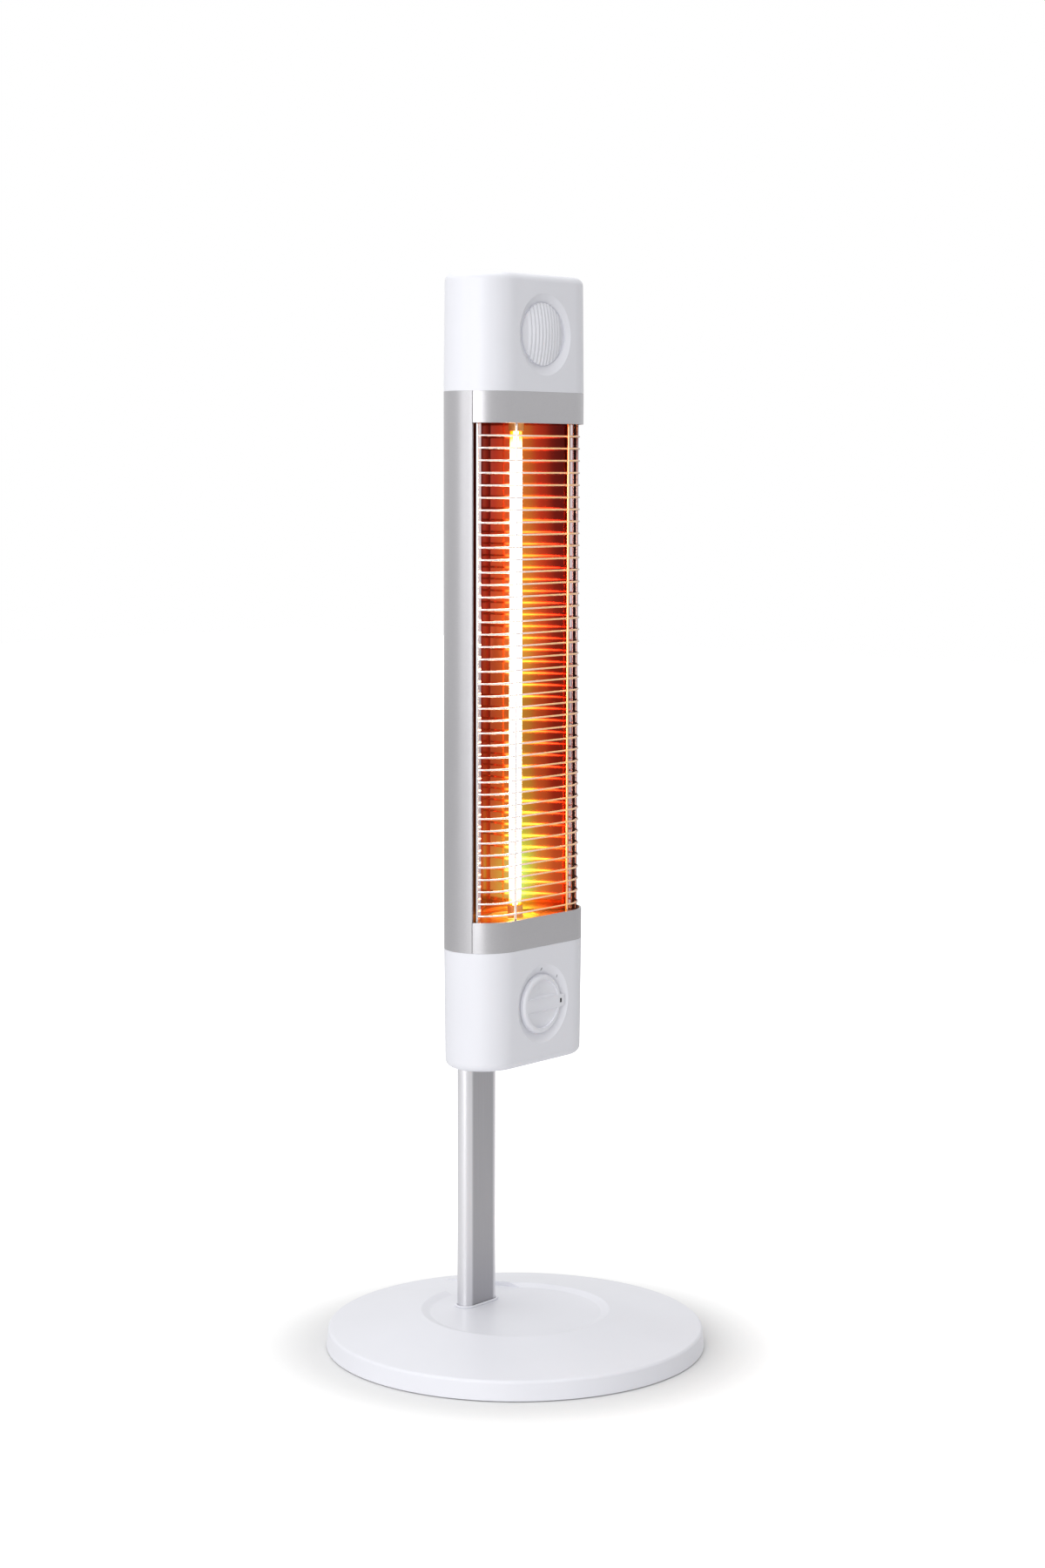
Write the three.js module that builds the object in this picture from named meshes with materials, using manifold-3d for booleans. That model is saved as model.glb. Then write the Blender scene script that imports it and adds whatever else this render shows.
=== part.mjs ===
// Infrared patio heater tower: a lamp body with round ends, held at its back
// by an oval pole that stands in a weighted round foot.
//
// Millimetres, +Z up. The origin is on the floor under the middle of the foot.
// The heater looks towards -Y, and +X is to the right of someone facing it.

import * as THREE from 'three';
import { mergeVertices } from 'three/addons/utils/BufferGeometryUtils.js';
import Module from 'manifold-3d';

const wasm = await Module();
wasm.setup();

// ---------------------------------------------------------------- clearances
const FIT_GAP = 0.3;            // between pieces that seat in one another
const RUNNING_GAP = 0.12;       // radial, round a shaft or a pin that turns
const CUT_MARGIN = 2;           // how far a cutting tool reaches past a face

// ---------------------------------------------------------------- facets
const BASE_SEGMENTS = 48;       // round the foot
const END_SEGMENTS = 16;        // round each half-round end of the body
const POLE_SEGMENTS = 8;        // round each half-round side of the pole
const DISH_SEGMENTS = 32;       // round the dishes, the knob and the ribbed disc
const DIP_SEGMENTS = 120;       // round the large circle of the grip's hollow
const ROUND_SEGMENTS = 16;      // round a lamp, a shaft or a pad
const FASTENER_SEGMENTS = 8;
const FILLET_STEPS = 3;         // up a cap's rounded edge
const DOME_STEPS = 6;           // up and down the ribbed disc
const REFLECTOR_STEPS = 20;     // across the trough
const WIRE_END_STEPS = 3;       // of a wire round each end of the guard
const WIRE_SIDES = 4;
const LEAD_SIDES = 6;
const LEAD_STEPS = 3;           // for each point of a lead's route

// ---------------------------------------------------------------- foot
const BASE_RADIUS = 160;        // at the floor
const BASE_DRAFT = 1.5;         // the side leans in by this much up to the rim
const BASE_RIM_HEIGHT = 16.7;
const BASE_LIFT = 0.9;          // daylight under the cover's rim
const BASE_CREST_RADIUS = 79.7; // highest ring of the shallow cone
const BASE_CREST_HEIGHT = 30;
const CREST_LIP_WIDTH = 7.3;    // from the crest in to the flat floor
const RECESS_HEIGHT = 27.4;
const BASE_WALL = 3;
const BASE_EDGE_FILLET = 1.6;
const MID_FILLET = 1 - Math.SQRT1_2; // share of a fillet cut off at its middle

const RAMP_START_Y = 40;        // the recess floor falls away behind this line
const RAMP_LEFT_X = 2;          // the ramp's left wall, behind the pole
const RAMP_RIGHT_X = 58;        // the ramp's right wall at the recess edge
const RAMP_FALL_DEG = 5.2;      // slope of the ramp down to the rim
const RAMP_SPLAY_DEG = 12;      // how far the right wall opens outwards

const PLATE_THICKNESS = 1.5;    // bottom plate
const PLATE_EDGE_GAP = 5.5;     // from the cover's inner wall to the plate
const FOOT_PAD_RADIUS = 11;
const FOOT_PAD_HEIGHT = 2.4;
const FOOT_PAD_INSET = 28;      // pad centres in from the plate's edge
const FOOT_PAD_COUNT = 4;
const WEIGHT_INSET = 14;        // from the plate's edge
const WEIGHT_THICKNESS = 8;
const PLATE_SCREW_COUNT = 3;
const PLATE_SCREW_INSET = 7;    // from the plate's edge
const PLATE_BOSS_RADIUS = 4.5;

// ---------------------------------------------------------------- pole
const POLE_WIDTH = 42;
const POLE_THICKNESS = 14.8;
const POLE_WALL = 1.6;
const POLE_TOP_Z = 548;
const COLLAR_WIDTH = 2.1;       // bead round the pole's foot
const COLLAR_HEIGHT = 1.6;
const COLLAR_ROUNDING = 0.7;
const SOCKET_WALL = 2.5;
const SOCKET_FLANGE_WIDTH = 92;
const SOCKET_FLANGE_DEPTH = 44;
const SOCKET_FLANGE_THICKNESS = 3.5;
const INSERT_HEIGHT = 14;
const POLE_BOLT_SPACING = 22;
const PLUG_LIP = 0.2;           // proud of the pole all round
const PLUG_CAP_HEIGHT = 2.5;
const PLUG_DEPTH = 10;

// ---------------------------------------------------------------- body
const BODY_WIDTH = 143;
const BODY_DEPTH = 65.6;
const BODY_FRONT_Y = -30;
const SEAM_Y = -10;             // front pieces in front of it, housing behind
const BODY_BOTTOM_Z = 245;
const LOWER_CAP_HEIGHT = 99;
const BAND_HEIGHT = 25.5;
const WINDOW_HEIGHT = 405;
const UPPER_CAP_HEIGHT = 94.5;
const SHEET_WALL = 1.6;         // housing and bands
const CAP_WALL = 2.4;
const CAP_DRAFT = 0.85;         // each cap narrows by this much at its end
const CAP_FILLET = 6.5;
const SPIGOT_HEIGHT = 8;        // lip of a cap inside the housing
const SPIGOT_WALL = 2;

// ---------------------------------------------------------------- dials
const DISH_RADIUS = 33;         // conical dish, where it meets the front
const DISH_FLOOR_RADIUS = 25.6;
const DISH_DEPTH = 4.4;
const DISH_BACKING = 2.6;       // wall behind a dish
const EYE_FROM_TOP = 47.9;      // centre of the upper dish below the top
const DIAL_FROM_BOTTOM = 50.1;  // centre of the lower dish above the bottom
const EYE_POCKET_HALF_WIDTH = 29;
const EYE_POCKET_HALF_HEIGHT = 25.7;

const INSERT_RADIUS = 25.2;
const INSERT_RIM_THICKNESS = 1;
const INSERT_DOME = 3.6;
const RIB_COUNT = 15;
const RIB_HEIGHT = 0.9;
const RIB_FILL = 0.55;          // share of the pitch that a rib takes

const KNOB_RADIUS = 25.1;
const KNOB_FACE_RADIUS = 24.4;
const KNOB_THICKNESS = 4;
const KNOB_EDGE = 0.7;
const KNOB_RIM_WIDTH = 4;
const GRIP_WIDTH = 11;
const GRIP_DIP = 0.9;
const SCOOP_DEPTH = 2.8;        // at the middle of each half-moon hollow
const SCOOP_SLOPE_DEG = 6;
const POINTER_REACH = 27.8;
const POINTER_WIDTH = 10.2;
const POINTER_THICKNESS = 2.2;
const POINTER_MARK_WIDTH = 2.3;
const POINTER_MARK_HEIGHT = 3.4;
const POINTER_MARK_X = 23.6;
const POINTER_MARK_DEPTH = 0.8;

const HUB_RADIUS = 6;           // of the knob, through the dish's floor
const SHAFT_RADIUS = 3;
const SHAFT_COVER = 1;          // knob left in front of the shaft's tip
const SWITCH_WIDTH = 32;
const SWITCH_HEIGHT = 28;
const SWITCH_DEPTH = 22;
const SWITCH_SCREW_HALF_SPACING = 11;
const SWITCH_SCREW_HEAD_RADIUS = 3;
const SWITCH_SCREW_HEAD_DEPTH = 1.6;
const SWITCH_SCREW_RADIUS = 1.4;
const SWITCH_SCREW_LENGTH = 9;

// ---------------------------------------------------------------- window
const END_PLATE_THICKNESS = 1;
const END_PLATE_RECESS = 3;     // plates sit this far behind the bands' edges
const LEAD_ROOM = 8.4;          // between the trough's back and the housing
const REFLECTOR_SHEET = 0.8;
const REFLECTOR_LIP = 5.5;
const LIP_INSET = 8.5;          // from the body's side to the lip's edge
const LAMP_RADIUS = 5;
const LAMP_GLASS = 1;
const ELEMENT_WIDTH = 6;
const ELEMENT_THICKNESS = 0.8;
const LAMP_END_RADIUS = 6.3;
const LAMP_END_LENGTH = 26;
const LAMP_END_SHOWS = 9;       // length of each ceramic end inside the window
const LAMP_END_GRIP = 7;        // how deep the tube sits in its ceramic end
const LAMP_HOLE_RADIUS = 7.2;
const CLIP_SHEET = 0.8;
const CLIP_HEIGHT = 8;
const CLIP_FOOT = 8;            // width and length of the strip's foot
const CLIP_DROP = 5;
const CLIP_OPENING_DEG = 80;

const WIRE_PITCH = 10;
const WIRE_COUNT = 40;
const FIRST_WIRE_RISE = 5;      // lowest wire above the lower band's edge
const WIRE_RADIUS = 0.85;
const ROD_RADIUS = 1;
const ROD_FROM_BEND = 4.9;      // front rods stand this far in from the bends
const WIRE_TO_ROD = 0.7;        // wires lie this much further in than the rods
const WIRE_END_BACKSET = 2;     // wires stop this far in front of the seam

// ---------------------------------------------------------------- fixings
const CLAMP_HEIGHT = 24;
const CLAMP_WALL = 3;
const CLAMP_LOWER_Z = 386;
const CLAMP_UPPER_Z = 520;
const CLAMP_SCREW_HALF_SPACING = 31;
const CLAMP_EAR_MARGIN = 5.3;   // of each ear beyond its screw's axis
const CAP_SCREW_HALF_SPACING = 31;
const SCREW_RADIUS = 1.75;
const SCREW_HEAD_RADIUS = 3.5;
const SCREW_HEAD_HEIGHT = 2.2;
const SCREW_LENGTH = 9;
const CROWN_SHARE = 0.35;       // of a head's height that is crowned
const CROWN_FLAT_SHARE = 0.6;   // of a head's radius that stays flat on top
const BOLT_RADIUS = 2.5;
const BOLT_HEAD_RADIUS = 4.4;
const BOLT_HEAD_HEIGHT = 3;

// ---------------------------------------------------------------- lower cap's insides
const TIP_SWITCH_FROM_SIDE = 29.5; // of its middle, from the body's -X side
const TIP_SWITCH_Y = 6;
const TIP_WALL = 2;
const TIP_HALF_WIDTH = 8;
const TIP_DEPTH = 20;
const TIP_PIVOT_HEIGHT = 28;    // above the switch's floor
const TIP_PIN_RADIUS = 1.2;
const TIP_TOP_MARGIN = 4.8;     // cheeks above the pin's axis
const PENDULUM_LENGTH = 16;
const PENDULUM_EYE_RADIUS = 3;
const PENDULUM_ARM_HALF = 1.8;
const PENDULUM_WEIGHT_RADIUS = 5;
const PENDULUM_WEIGHT_HEIGHT = 9;
const TERMINAL_FROM_SIDE = 33.5; // of its middle, from the body's +X side
const TERMINAL_Y = 4;
const TERMINAL_SIZE = [26, 16, 14];
const TERMINAL_FIN = 1.4;
const TERMINAL_FINS = 4;
const TERMINAL_BODY_HEIGHT = 9.8; // between the fins
const TERMINAL_ENTRY_HEIGHT = 5.6;
const CUTOUT_FROM_SIDE = 37.5;  // from the body's -X side
const CUTOUT_Y = 12;
const CUTOUT_RADIUS = 8;
const CUTOUT_HEIGHT = 6;
const GLAND_FROM_SIDE = 40.5;   // from the body's +X side
const GLAND_HEIGHT = 17;        // above the cap's bottom
const GLAND_RADIUS = 5.4;
const GLAND_FLANGE_RADIUS = 7;
const GLAND_FLANGE_THICKNESS = 3;
const GLAND_BORE_RADIUS = 3.6;
const GLAND_INSIDE = 6;
const LEAD_RADIUS = 1.2;
const LEAD_HOLE_RADIUS = 2.2;
const LEAD_CHANNEL_X = 12;
const SWITCH_LEAD_X = 8;
const LEAD_STRAIGHT = 8;        // of a lead, before and after a plate's hole

// ---------------------------------------------------------------- derived
const BODY_CENTRE_Y = BODY_FRONT_Y + BODY_DEPTH / 2;
const BODY_BACK_Y = BODY_FRONT_Y + BODY_DEPTH;
const LOWER_BAND_Z = BODY_BOTTOM_Z + LOWER_CAP_HEIGHT;
const WINDOW_BOTTOM_Z = LOWER_BAND_Z + BAND_HEIGHT;
const WINDOW_TOP_Z = WINDOW_BOTTOM_Z + WINDOW_HEIGHT;
const UPPER_CAP_Z = WINDOW_TOP_Z + BAND_HEIGHT;
const BODY_TOP_Z = UPPER_CAP_Z + UPPER_CAP_HEIGHT;
const EYE_Z = BODY_TOP_Z - EYE_FROM_TOP;
const DIAL_Z = BODY_BOTTOM_Z + DIAL_FROM_BOTTOM;

// Each cap's sides lean in evenly from its seam to the start of its fillet.
const capLean = (fromSeam, height) => CAP_DRAFT * fromSeam / (height - CAP_FILLET);
const EYE_FACE_Y = BODY_FRONT_Y + capLean(EYE_Z - UPPER_CAP_Z, UPPER_CAP_HEIGHT);
const DIAL_FACE_Y = BODY_FRONT_Y + capLean(LOWER_BAND_Z - DIAL_Z, LOWER_CAP_HEIGHT);

const BASE_RIM_RADIUS = BASE_RADIUS - BASE_DRAFT;
const RECESS_RADIUS = BASE_CREST_RADIUS - CREST_LIP_WIDTH;
const PLATE_RADIUS = BASE_RIM_RADIUS - BASE_WALL - PLATE_EDGE_GAP;
const WEIGHT_RADIUS = PLATE_RADIUS - WEIGHT_INSET;
const FOOT_PAD_CIRCLE = PLATE_RADIUS - FOOT_PAD_INSET;
const PLATE_SCREW_CIRCLE = PLATE_RADIUS - PLATE_SCREW_INSET;
const PLATE_BOTTOM_Z = FOOT_PAD_HEIGHT;
const PLATE_TOP_Z = PLATE_BOTTOM_Z + PLATE_THICKNESS;
const WEIGHT_TOP_Z = PLATE_TOP_Z + WEIGHT_THICKNESS;
const POLE_FOOT_Z = WEIGHT_TOP_Z + SOCKET_FLANGE_THICKNESS;
const POLE_CENTRE_Y = BODY_BACK_Y + FIT_GAP + POLE_THICKNESS / 2;

const LOWER_PLATE_TOP_Z = WINDOW_BOTTOM_Z - END_PLATE_RECESS;
const LOWER_PLATE_BOTTOM_Z = LOWER_PLATE_TOP_Z - END_PLATE_THICKNESS;
const UPPER_PLATE_BOTTOM_Z = WINDOW_TOP_Z + END_PLATE_RECESS;
const UPPER_PLATE_TOP_Z = UPPER_PLATE_BOTTOM_Z + END_PLATE_THICKNESS;
const CAP_FLOOR_Z = BODY_BOTTOM_Z + CAP_WALL;
const TIP_SWITCH_X = TIP_SWITCH_FROM_SIDE - BODY_WIDTH / 2;
const TERMINAL_X = BODY_WIDTH / 2 - TERMINAL_FROM_SIDE;
const CUTOUT_X = CUTOUT_FROM_SIDE - BODY_WIDTH / 2;
const GLAND_X = BODY_WIDTH / 2 - GLAND_FROM_SIDE;

// The trough is a parabola from the housing's back to the seam, where its lips
// start, and the lamp stands in its focus.
const REFLECTOR_BACK_Y = BODY_BACK_Y - SHEET_WALL - LEAD_ROOM - REFLECTOR_SHEET;
const REFLECTOR_HALF_WIDTH = BODY_WIDTH / 2 - LIP_INSET - REFLECTOR_LIP;
const REFLECTOR_FOCUS = REFLECTOR_HALF_WIDTH ** 2 / (4 * (REFLECTOR_BACK_Y - SEAM_Y));
const LAMP_Y = REFLECTOR_BACK_Y - REFLECTOR_FOCUS;

const ROD_INSET = SHEET_WALL + FIT_GAP + ROD_RADIUS;
const WIRE_INSET = ROD_INSET + WIRE_TO_ROD;
const ROD_HALF_SPACING = (BODY_WIDTH - BODY_DEPTH) / 2 - ROD_FROM_BEND;

// ---------------------------------------------------------------- materials
const paint = (color, roughness, metalness = 0) =>
  new THREE.MeshStandardMaterial({ color, roughness, metalness });

const WHITE = paint(0xeeeff6, 0.45);
const SILVER = paint(0xc4c4ca, 0.35, 0.7);
const ALUMINIUM = paint(0xb4b6bd, 0.3, 0.9);
const POLISHED = paint(0xd8a070, 0.12, 1);
const CHROME = paint(0xe4e2e2, 0.08, 1);
const STEEL = paint(0x8f9196, 0.4, 0.9);
const RUBBER = paint(0x1c1c1e, 0.9);
const CERAMIC = paint(0xe8e2d4, 0.6);
const GLASS = paint(0xfff2d0, 0.05);
const CARBON = paint(0xff9a3c, 0.8);
const BLACK = paint(0x1a1a1c, 0.5);
const BAKELITE = paint(0x2b2624, 0.5);
const BRASS = paint(0xb5924c, 0.35, 1);
const LEAD = paint(0x6d3b2a, 0.6);

// ---------------------------------------------------------------- solids
// A closed three.js geometry becomes a solid that can be cut and joined.
function solid(geometry) {
  const bare = geometry.clone();
  bare.deleteAttribute('normal');
  bare.deleteAttribute('uv');
  const merged = mergeVertices(bare, 1e-4);
  return new wasm.Manifold(new wasm.Mesh({
    numProp: 3,
    vertProperties: new Float32Array(merged.attributes.position.array),
    triVerts: new Uint32Array(merged.index.array),
  }));
}

function geometryOf(body) {
  const mesh = body.getMesh();
  const geometry = new THREE.BufferGeometry();
  geometry.setAttribute('position', new THREE.BufferAttribute(mesh.vertProperties, 3));
  geometry.setIndex(new THREE.BufferAttribute(mesh.triVerts, 1));
  return geometry;
}

const joined = (first, ...others) => others.reduce((sum, part) => sum.add(part), first);
const cut = (first, ...tools) => tools.reduce((rest, tool) => rest.subtract(tool), first);

// Box between two corners.
function block([x0, y0, z0], [x1, y1, z1]) {
  const geometry = new THREE.BoxGeometry(x1 - x0, y1 - y0, z1 - z0);
  geometry.translate((x0 + x1) / 2, (y0 + y1) / 2, (z0 + z1) / 2);
  return solid(geometry);
}

// Flat outline in X and Y, raised from one height to another. An arc in the
// outline gets two facets for each of three.js's curve segments.
function raised(shape, z0, z1, arcFacets = END_SEGMENTS) {
  const geometry = new THREE.ExtrudeGeometry(shape, {
    depth: z1 - z0, bevelEnabled: false, curveSegments: arcFacets / 2,
  });
  geometry.translate(0, 0, z0);
  return solid(geometry);
}

// Profile of [radius, height] pairs turned about +Z.
function turned(profile, segments) {
  const points = profile.map(([radius, height]) => new THREE.Vector2(radius, height));
  const geometry = new THREE.LatheGeometry(points, segments);
  geometry.rotateX(Math.PI / 2);
  return solid(geometry);
}

// Upright cylinder at a place in X and Y.
function pillar(x, y, radius, z0, z1, segments = FASTENER_SEGMENTS) {
  const body = turned([[0, z0], [radius, z0], [radius, z1], [0, z1]], segments);
  return body.translate([x, y, 0]);
}

// A solid made about +Z, turned so that its +Z looks to the front, -Y.
const facingFront = (body, x, y, z) => body.rotate([90, 0, 0]).translate([x, y, z]);
// The same, looking to the back, +Y.
const facingBack = (body, x, y, z) => body.rotate([-90, 0, 0]).translate([x, y, z]);

// Oval outline with full round ends, long side along X.
function oval(width, depth, centreY = 0, centreX = 0) {
  const radius = depth / 2;
  const run = width / 2 - radius;
  const shape = new THREE.Shape();
  shape.absarc(centreX + run, centreY, radius, -Math.PI / 2, Math.PI / 2);
  shape.absarc(centreX - run, centreY, radius, Math.PI / 2, Math.PI * 1.5);
  shape.closePath();
  return shape;
}

// The body's outline, moved inwards by an inset.
const bodyOval = (inset) =>
  oval(BODY_WIDTH - 2 * inset, BODY_DEPTH - 2 * inset, BODY_CENTRE_Y);

const bodyPrism = (inset, z0, z1) => raised(bodyOval(inset), z0, z1);

// The pole's outline grown by an amount, or shrunk by a negative one.
const polePrism = (grow, z0, z1) => raised(
  oval(POLE_WIDTH + 2 * grow, POLE_THICKNESS + 2 * grow, POLE_CENTRE_Y), z0, z1, POLE_SEGMENTS);

// Points round the body's outline, all levels of a loft alike.
function outlinePoints(inset) {
  const radius = BODY_DEPTH / 2 - inset;
  const run = (BODY_WIDTH - BODY_DEPTH) / 2;
  const points = [];
  for (const side of [1, -1]) {
    for (let step = 0; step <= END_SEGMENTS; step += 1) {
      const angle = -Math.PI / 2 * side + Math.PI * step / END_SEGMENTS;
      points.push([side * run + radius * Math.cos(angle),
        BODY_CENTRE_Y + radius * Math.sin(angle)]);
    }
  }
  return points;
}

// Closed loft through [height, inset] levels, lowest first.
function loft(levels) {
  const positions = [];
  const faces = [];
  const ring = outlinePoints(0).length;
  for (const [z, inset] of levels) {
    for (const [x, y] of outlinePoints(inset)) positions.push(x, y, z);
  }
  for (let level = 0; level < levels.length - 1; level += 1) {
    for (let i = 0; i < ring; i += 1) {
      const next = (i + 1) % ring;
      const a = level * ring + i;
      const b = level * ring + next;
      faces.push(a, b, b + ring, a, b + ring, a + ring);
    }
  }
  const bottom = positions.length / 3;
  positions.push(0, BODY_CENTRE_Y, levels[0][0]);
  positions.push(0, BODY_CENTRE_Y, levels.at(-1)[0]);
  const lastRing = (levels.length - 1) * ring;
  for (let i = 0; i < ring; i += 1) {
    const next = (i + 1) % ring;
    faces.push(bottom, next, i);
    faces.push(bottom + 1, lastRing + i, lastRing + next);
  }
  const geometry = new THREE.BufferGeometry();
  geometry.setAttribute('position', new THREE.Float32BufferAttribute(positions, 3));
  geometry.setIndex(faces);
  return solid(geometry);
}

// Pan-headed screw about +Z: its head is above z = 0, its shank below.
function screw(headRadius, headHeight, shankRadius, length) {
  const crown = headHeight * CROWN_SHARE;
  return turned([
    [0, -length], [shankRadius, -length], [shankRadius, 0], [headRadius, 0],
    [headRadius, headHeight - crown], [headRadius * CROWN_FLAT_SHARE, headHeight], [0, headHeight],
  ], FASTENER_SEGMENTS);
}

const smallScrew = () => screw(SCREW_HEAD_RADIUS, SCREW_HEAD_HEIGHT, SCREW_RADIUS, SCREW_LENGTH);

// ---------------------------------------------------------------- the tree
const heater = new THREE.Group();
const stand = new THREE.Group();
const body = new THREE.Group();
const controls = new THREE.Group();
heater.add(stand, body, controls);

function place(group, name, material, shape) {
  const mesh = new THREE.Mesh(geometryOf(shape), material);
  mesh.name = name;
  group.add(mesh);
}

// ---------------------------------------------------------------- foot
// Height of the cone between the crest and the rim, at a radius.
function coneHeight(radius) {
  const share = (radius - BASE_CREST_RADIUS) / (BASE_RIM_RADIUS - BASE_CREST_RADIUS);
  return BASE_CREST_HEIGHT + share * (BASE_RIM_HEIGHT - BASE_CREST_HEIGHT);
}

// Everything above the ramp behind the pole, inside its two walls.
function rampTool() {
  const reach = BASE_RADIUS;
  const shape = new THREE.Shape();
  shape.moveTo(RAMP_LEFT_X, 0);
  shape.lineTo(RAMP_RIGHT_X, 0);
  shape.lineTo(RAMP_RIGHT_X + reach * Math.tan(THREE.MathUtils.degToRad(RAMP_SPLAY_DEG)), reach);
  shape.lineTo(RAMP_LEFT_X, reach);
  shape.closePath();
  return raised(shape, 0, BASE_CREST_HEIGHT)
    .rotate([-RAMP_FALL_DEG, 0, 0])
    .translate([0, RAMP_START_Y, RECESS_HEIGHT]);
}

function baseCover() {
  const inner = BASE_RADIUS - BASE_WALL;
  const innerRim = BASE_RIM_RADIUS - BASE_WALL;
  const shell = turned([
    [0, RECESS_HEIGHT - BASE_WALL],
    [RECESS_RADIUS, RECESS_HEIGHT - BASE_WALL],
    [BASE_CREST_RADIUS, BASE_CREST_HEIGHT - BASE_WALL],
    [innerRim, coneHeight(innerRim) - BASE_WALL],
    [inner, BASE_LIFT],
    [BASE_RADIUS, BASE_LIFT],
    [BASE_RIM_RADIUS, BASE_RIM_HEIGHT - BASE_EDGE_FILLET],
    [BASE_RIM_RADIUS - BASE_EDGE_FILLET * MID_FILLET, BASE_RIM_HEIGHT - BASE_EDGE_FILLET * MID_FILLET],
    [BASE_RIM_RADIUS - BASE_EDGE_FILLET, coneHeight(BASE_RIM_RADIUS - BASE_EDGE_FILLET)],
    [BASE_CREST_RADIUS, BASE_CREST_HEIGHT],
    [RECESS_RADIUS, RECESS_HEIGHT],
    [0, RECESS_HEIGHT],
  ], BASE_SEGMENTS);
  const ramp = rampTool();
  // The wall under the ramp follows it down, so the cover keeps its thickness.
  const rampFloor = ramp.translate([0, 0, -BASE_WALL])
    .intersect(turned([
      [0, WEIGHT_TOP_Z + FIT_GAP], [innerRim, WEIGHT_TOP_Z + FIT_GAP],
      [innerRim, coneHeight(innerRim) - BASE_WALL / 2],
      [BASE_CREST_RADIUS, BASE_CREST_HEIGHT - BASE_WALL / 2],
      [0, BASE_CREST_HEIGHT - BASE_WALL / 2],
    ], BASE_SEGMENTS));
  const poleHole = polePrism(FIT_GAP, 0, BASE_CREST_HEIGHT + CUT_MARGIN);
  const socketRoom = polePrism(SOCKET_WALL + 2 * FIT_GAP, 0, SOCKET_TOP_Z + FIT_GAP);
  const covered = joined(shell, rampFloor);
  const bosses = plateScrewPlaces().map(([x, y]) => pillar(x, y, PLATE_BOSS_RADIUS, PLATE_TOP_Z,
    coneHeight(PLATE_SCREW_CIRCLE + PLATE_BOSS_RADIUS) - BASE_WALL / 2));
  const pilots = plateScrewPlaces().map(([x, y]) => pillar(x, y, SCREW_RADIUS + FIT_GAP, 0,
    PLATE_BOTTOM_Z + SCREW_LENGTH + FIT_GAP));
  return cut(joined(covered, ...bosses), ramp, poleHole, socketRoom, ...pilots);
}

function plateScrewPlaces() {
  const places = [];
  for (let i = 0; i < PLATE_SCREW_COUNT; i += 1) {
    const angle = Math.PI / 2 + 2 * Math.PI * (i + 0.5) / PLATE_SCREW_COUNT;
    places.push([PLATE_SCREW_CIRCLE * Math.cos(angle), PLATE_SCREW_CIRCLE * Math.sin(angle)]);
  }
  return places;
}

const boltPlaces = [-1, 1].map((side) => [side * POLE_BOLT_SPACING / 2, POLE_CENTRE_Y]);
const SOCKET_TOP_Z = RECESS_HEIGHT - BASE_WALL - FIT_GAP;

function bottomPlate() {
  const plate = turned([[0, PLATE_BOTTOM_Z], [PLATE_RADIUS, PLATE_BOTTOM_Z],
    [PLATE_RADIUS, PLATE_TOP_Z], [0, PLATE_TOP_Z]], BASE_SEGMENTS);
  const screwHoles = plateScrewPlaces().map(([x, y]) =>
    pillar(x, y, SCREW_RADIUS + FIT_GAP, 0, PLATE_TOP_Z + CUT_MARGIN));
  const boltHoles = boltPlaces.map(([x, y]) =>
    pillar(x, y, BOLT_HEAD_RADIUS + FIT_GAP, 0, PLATE_TOP_Z + CUT_MARGIN));
  return cut(plate, ...screwHoles, ...boltHoles);
}

function baseWeight() {
  const disc = turned([[0, PLATE_TOP_Z], [WEIGHT_RADIUS, PLATE_TOP_Z],
    [WEIGHT_RADIUS, WEIGHT_TOP_Z], [0, WEIGHT_TOP_Z]], BASE_SEGMENTS / 2);
  const holes = boltPlaces.flatMap(([x, y]) => [
    pillar(x, y, BOLT_RADIUS + FIT_GAP, 0, WEIGHT_TOP_Z + CUT_MARGIN),
    pillar(x, y, BOLT_HEAD_RADIUS + FIT_GAP, 0, PLATE_TOP_Z + BOLT_HEAD_HEIGHT),
  ]);
  return cut(disc, ...holes);
}

function poleSocket() {
  const flange = raised(oval(SOCKET_FLANGE_WIDTH, SOCKET_FLANGE_DEPTH, POLE_CENTRE_Y),
    WEIGHT_TOP_Z, POLE_FOOT_Z, POLE_SEGMENTS);
  const sleeve = polePrism(SOCKET_WALL + FIT_GAP, WEIGHT_TOP_Z, SOCKET_TOP_Z);
  const bore = polePrism(FIT_GAP, POLE_FOOT_Z, SOCKET_TOP_Z + CUT_MARGIN);
  const boltHoles = boltPlaces.map(([x, y]) =>
    pillar(x, y, BOLT_RADIUS + FIT_GAP, 0, SOCKET_TOP_Z));
  return cut(joined(flange, sleeve), bore, ...boltHoles);
}

const footPad = (angle) => pillar(FOOT_PAD_CIRCLE * Math.cos(angle),
  FOOT_PAD_CIRCLE * Math.sin(angle), FOOT_PAD_RADIUS, 0, FOOT_PAD_HEIGHT, ROUND_SEGMENTS);

place(stand, 'base_cover', WHITE, baseCover());
place(stand, 'base_bottom_plate', STEEL, bottomPlate());
place(stand, 'base_weight', STEEL, baseWeight());
place(stand, 'pole_socket', BLACK, poleSocket());
for (let i = 0; i < FOOT_PAD_COUNT; i += 1) {
  const angle = Math.PI / 4 + 2 * Math.PI * i / FOOT_PAD_COUNT;
  place(stand, `base_foot_${i + 1}`, RUBBER, footPad(angle));
}
plateScrewPlaces().forEach(([x, y], i) => {
  const fixing = smallScrew().rotate([180, 0, 0]).translate([x, y, PLATE_BOTTOM_Z]);
  place(stand, `base_plate_screw_${i + 1}`, STEEL, fixing);
});

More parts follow.
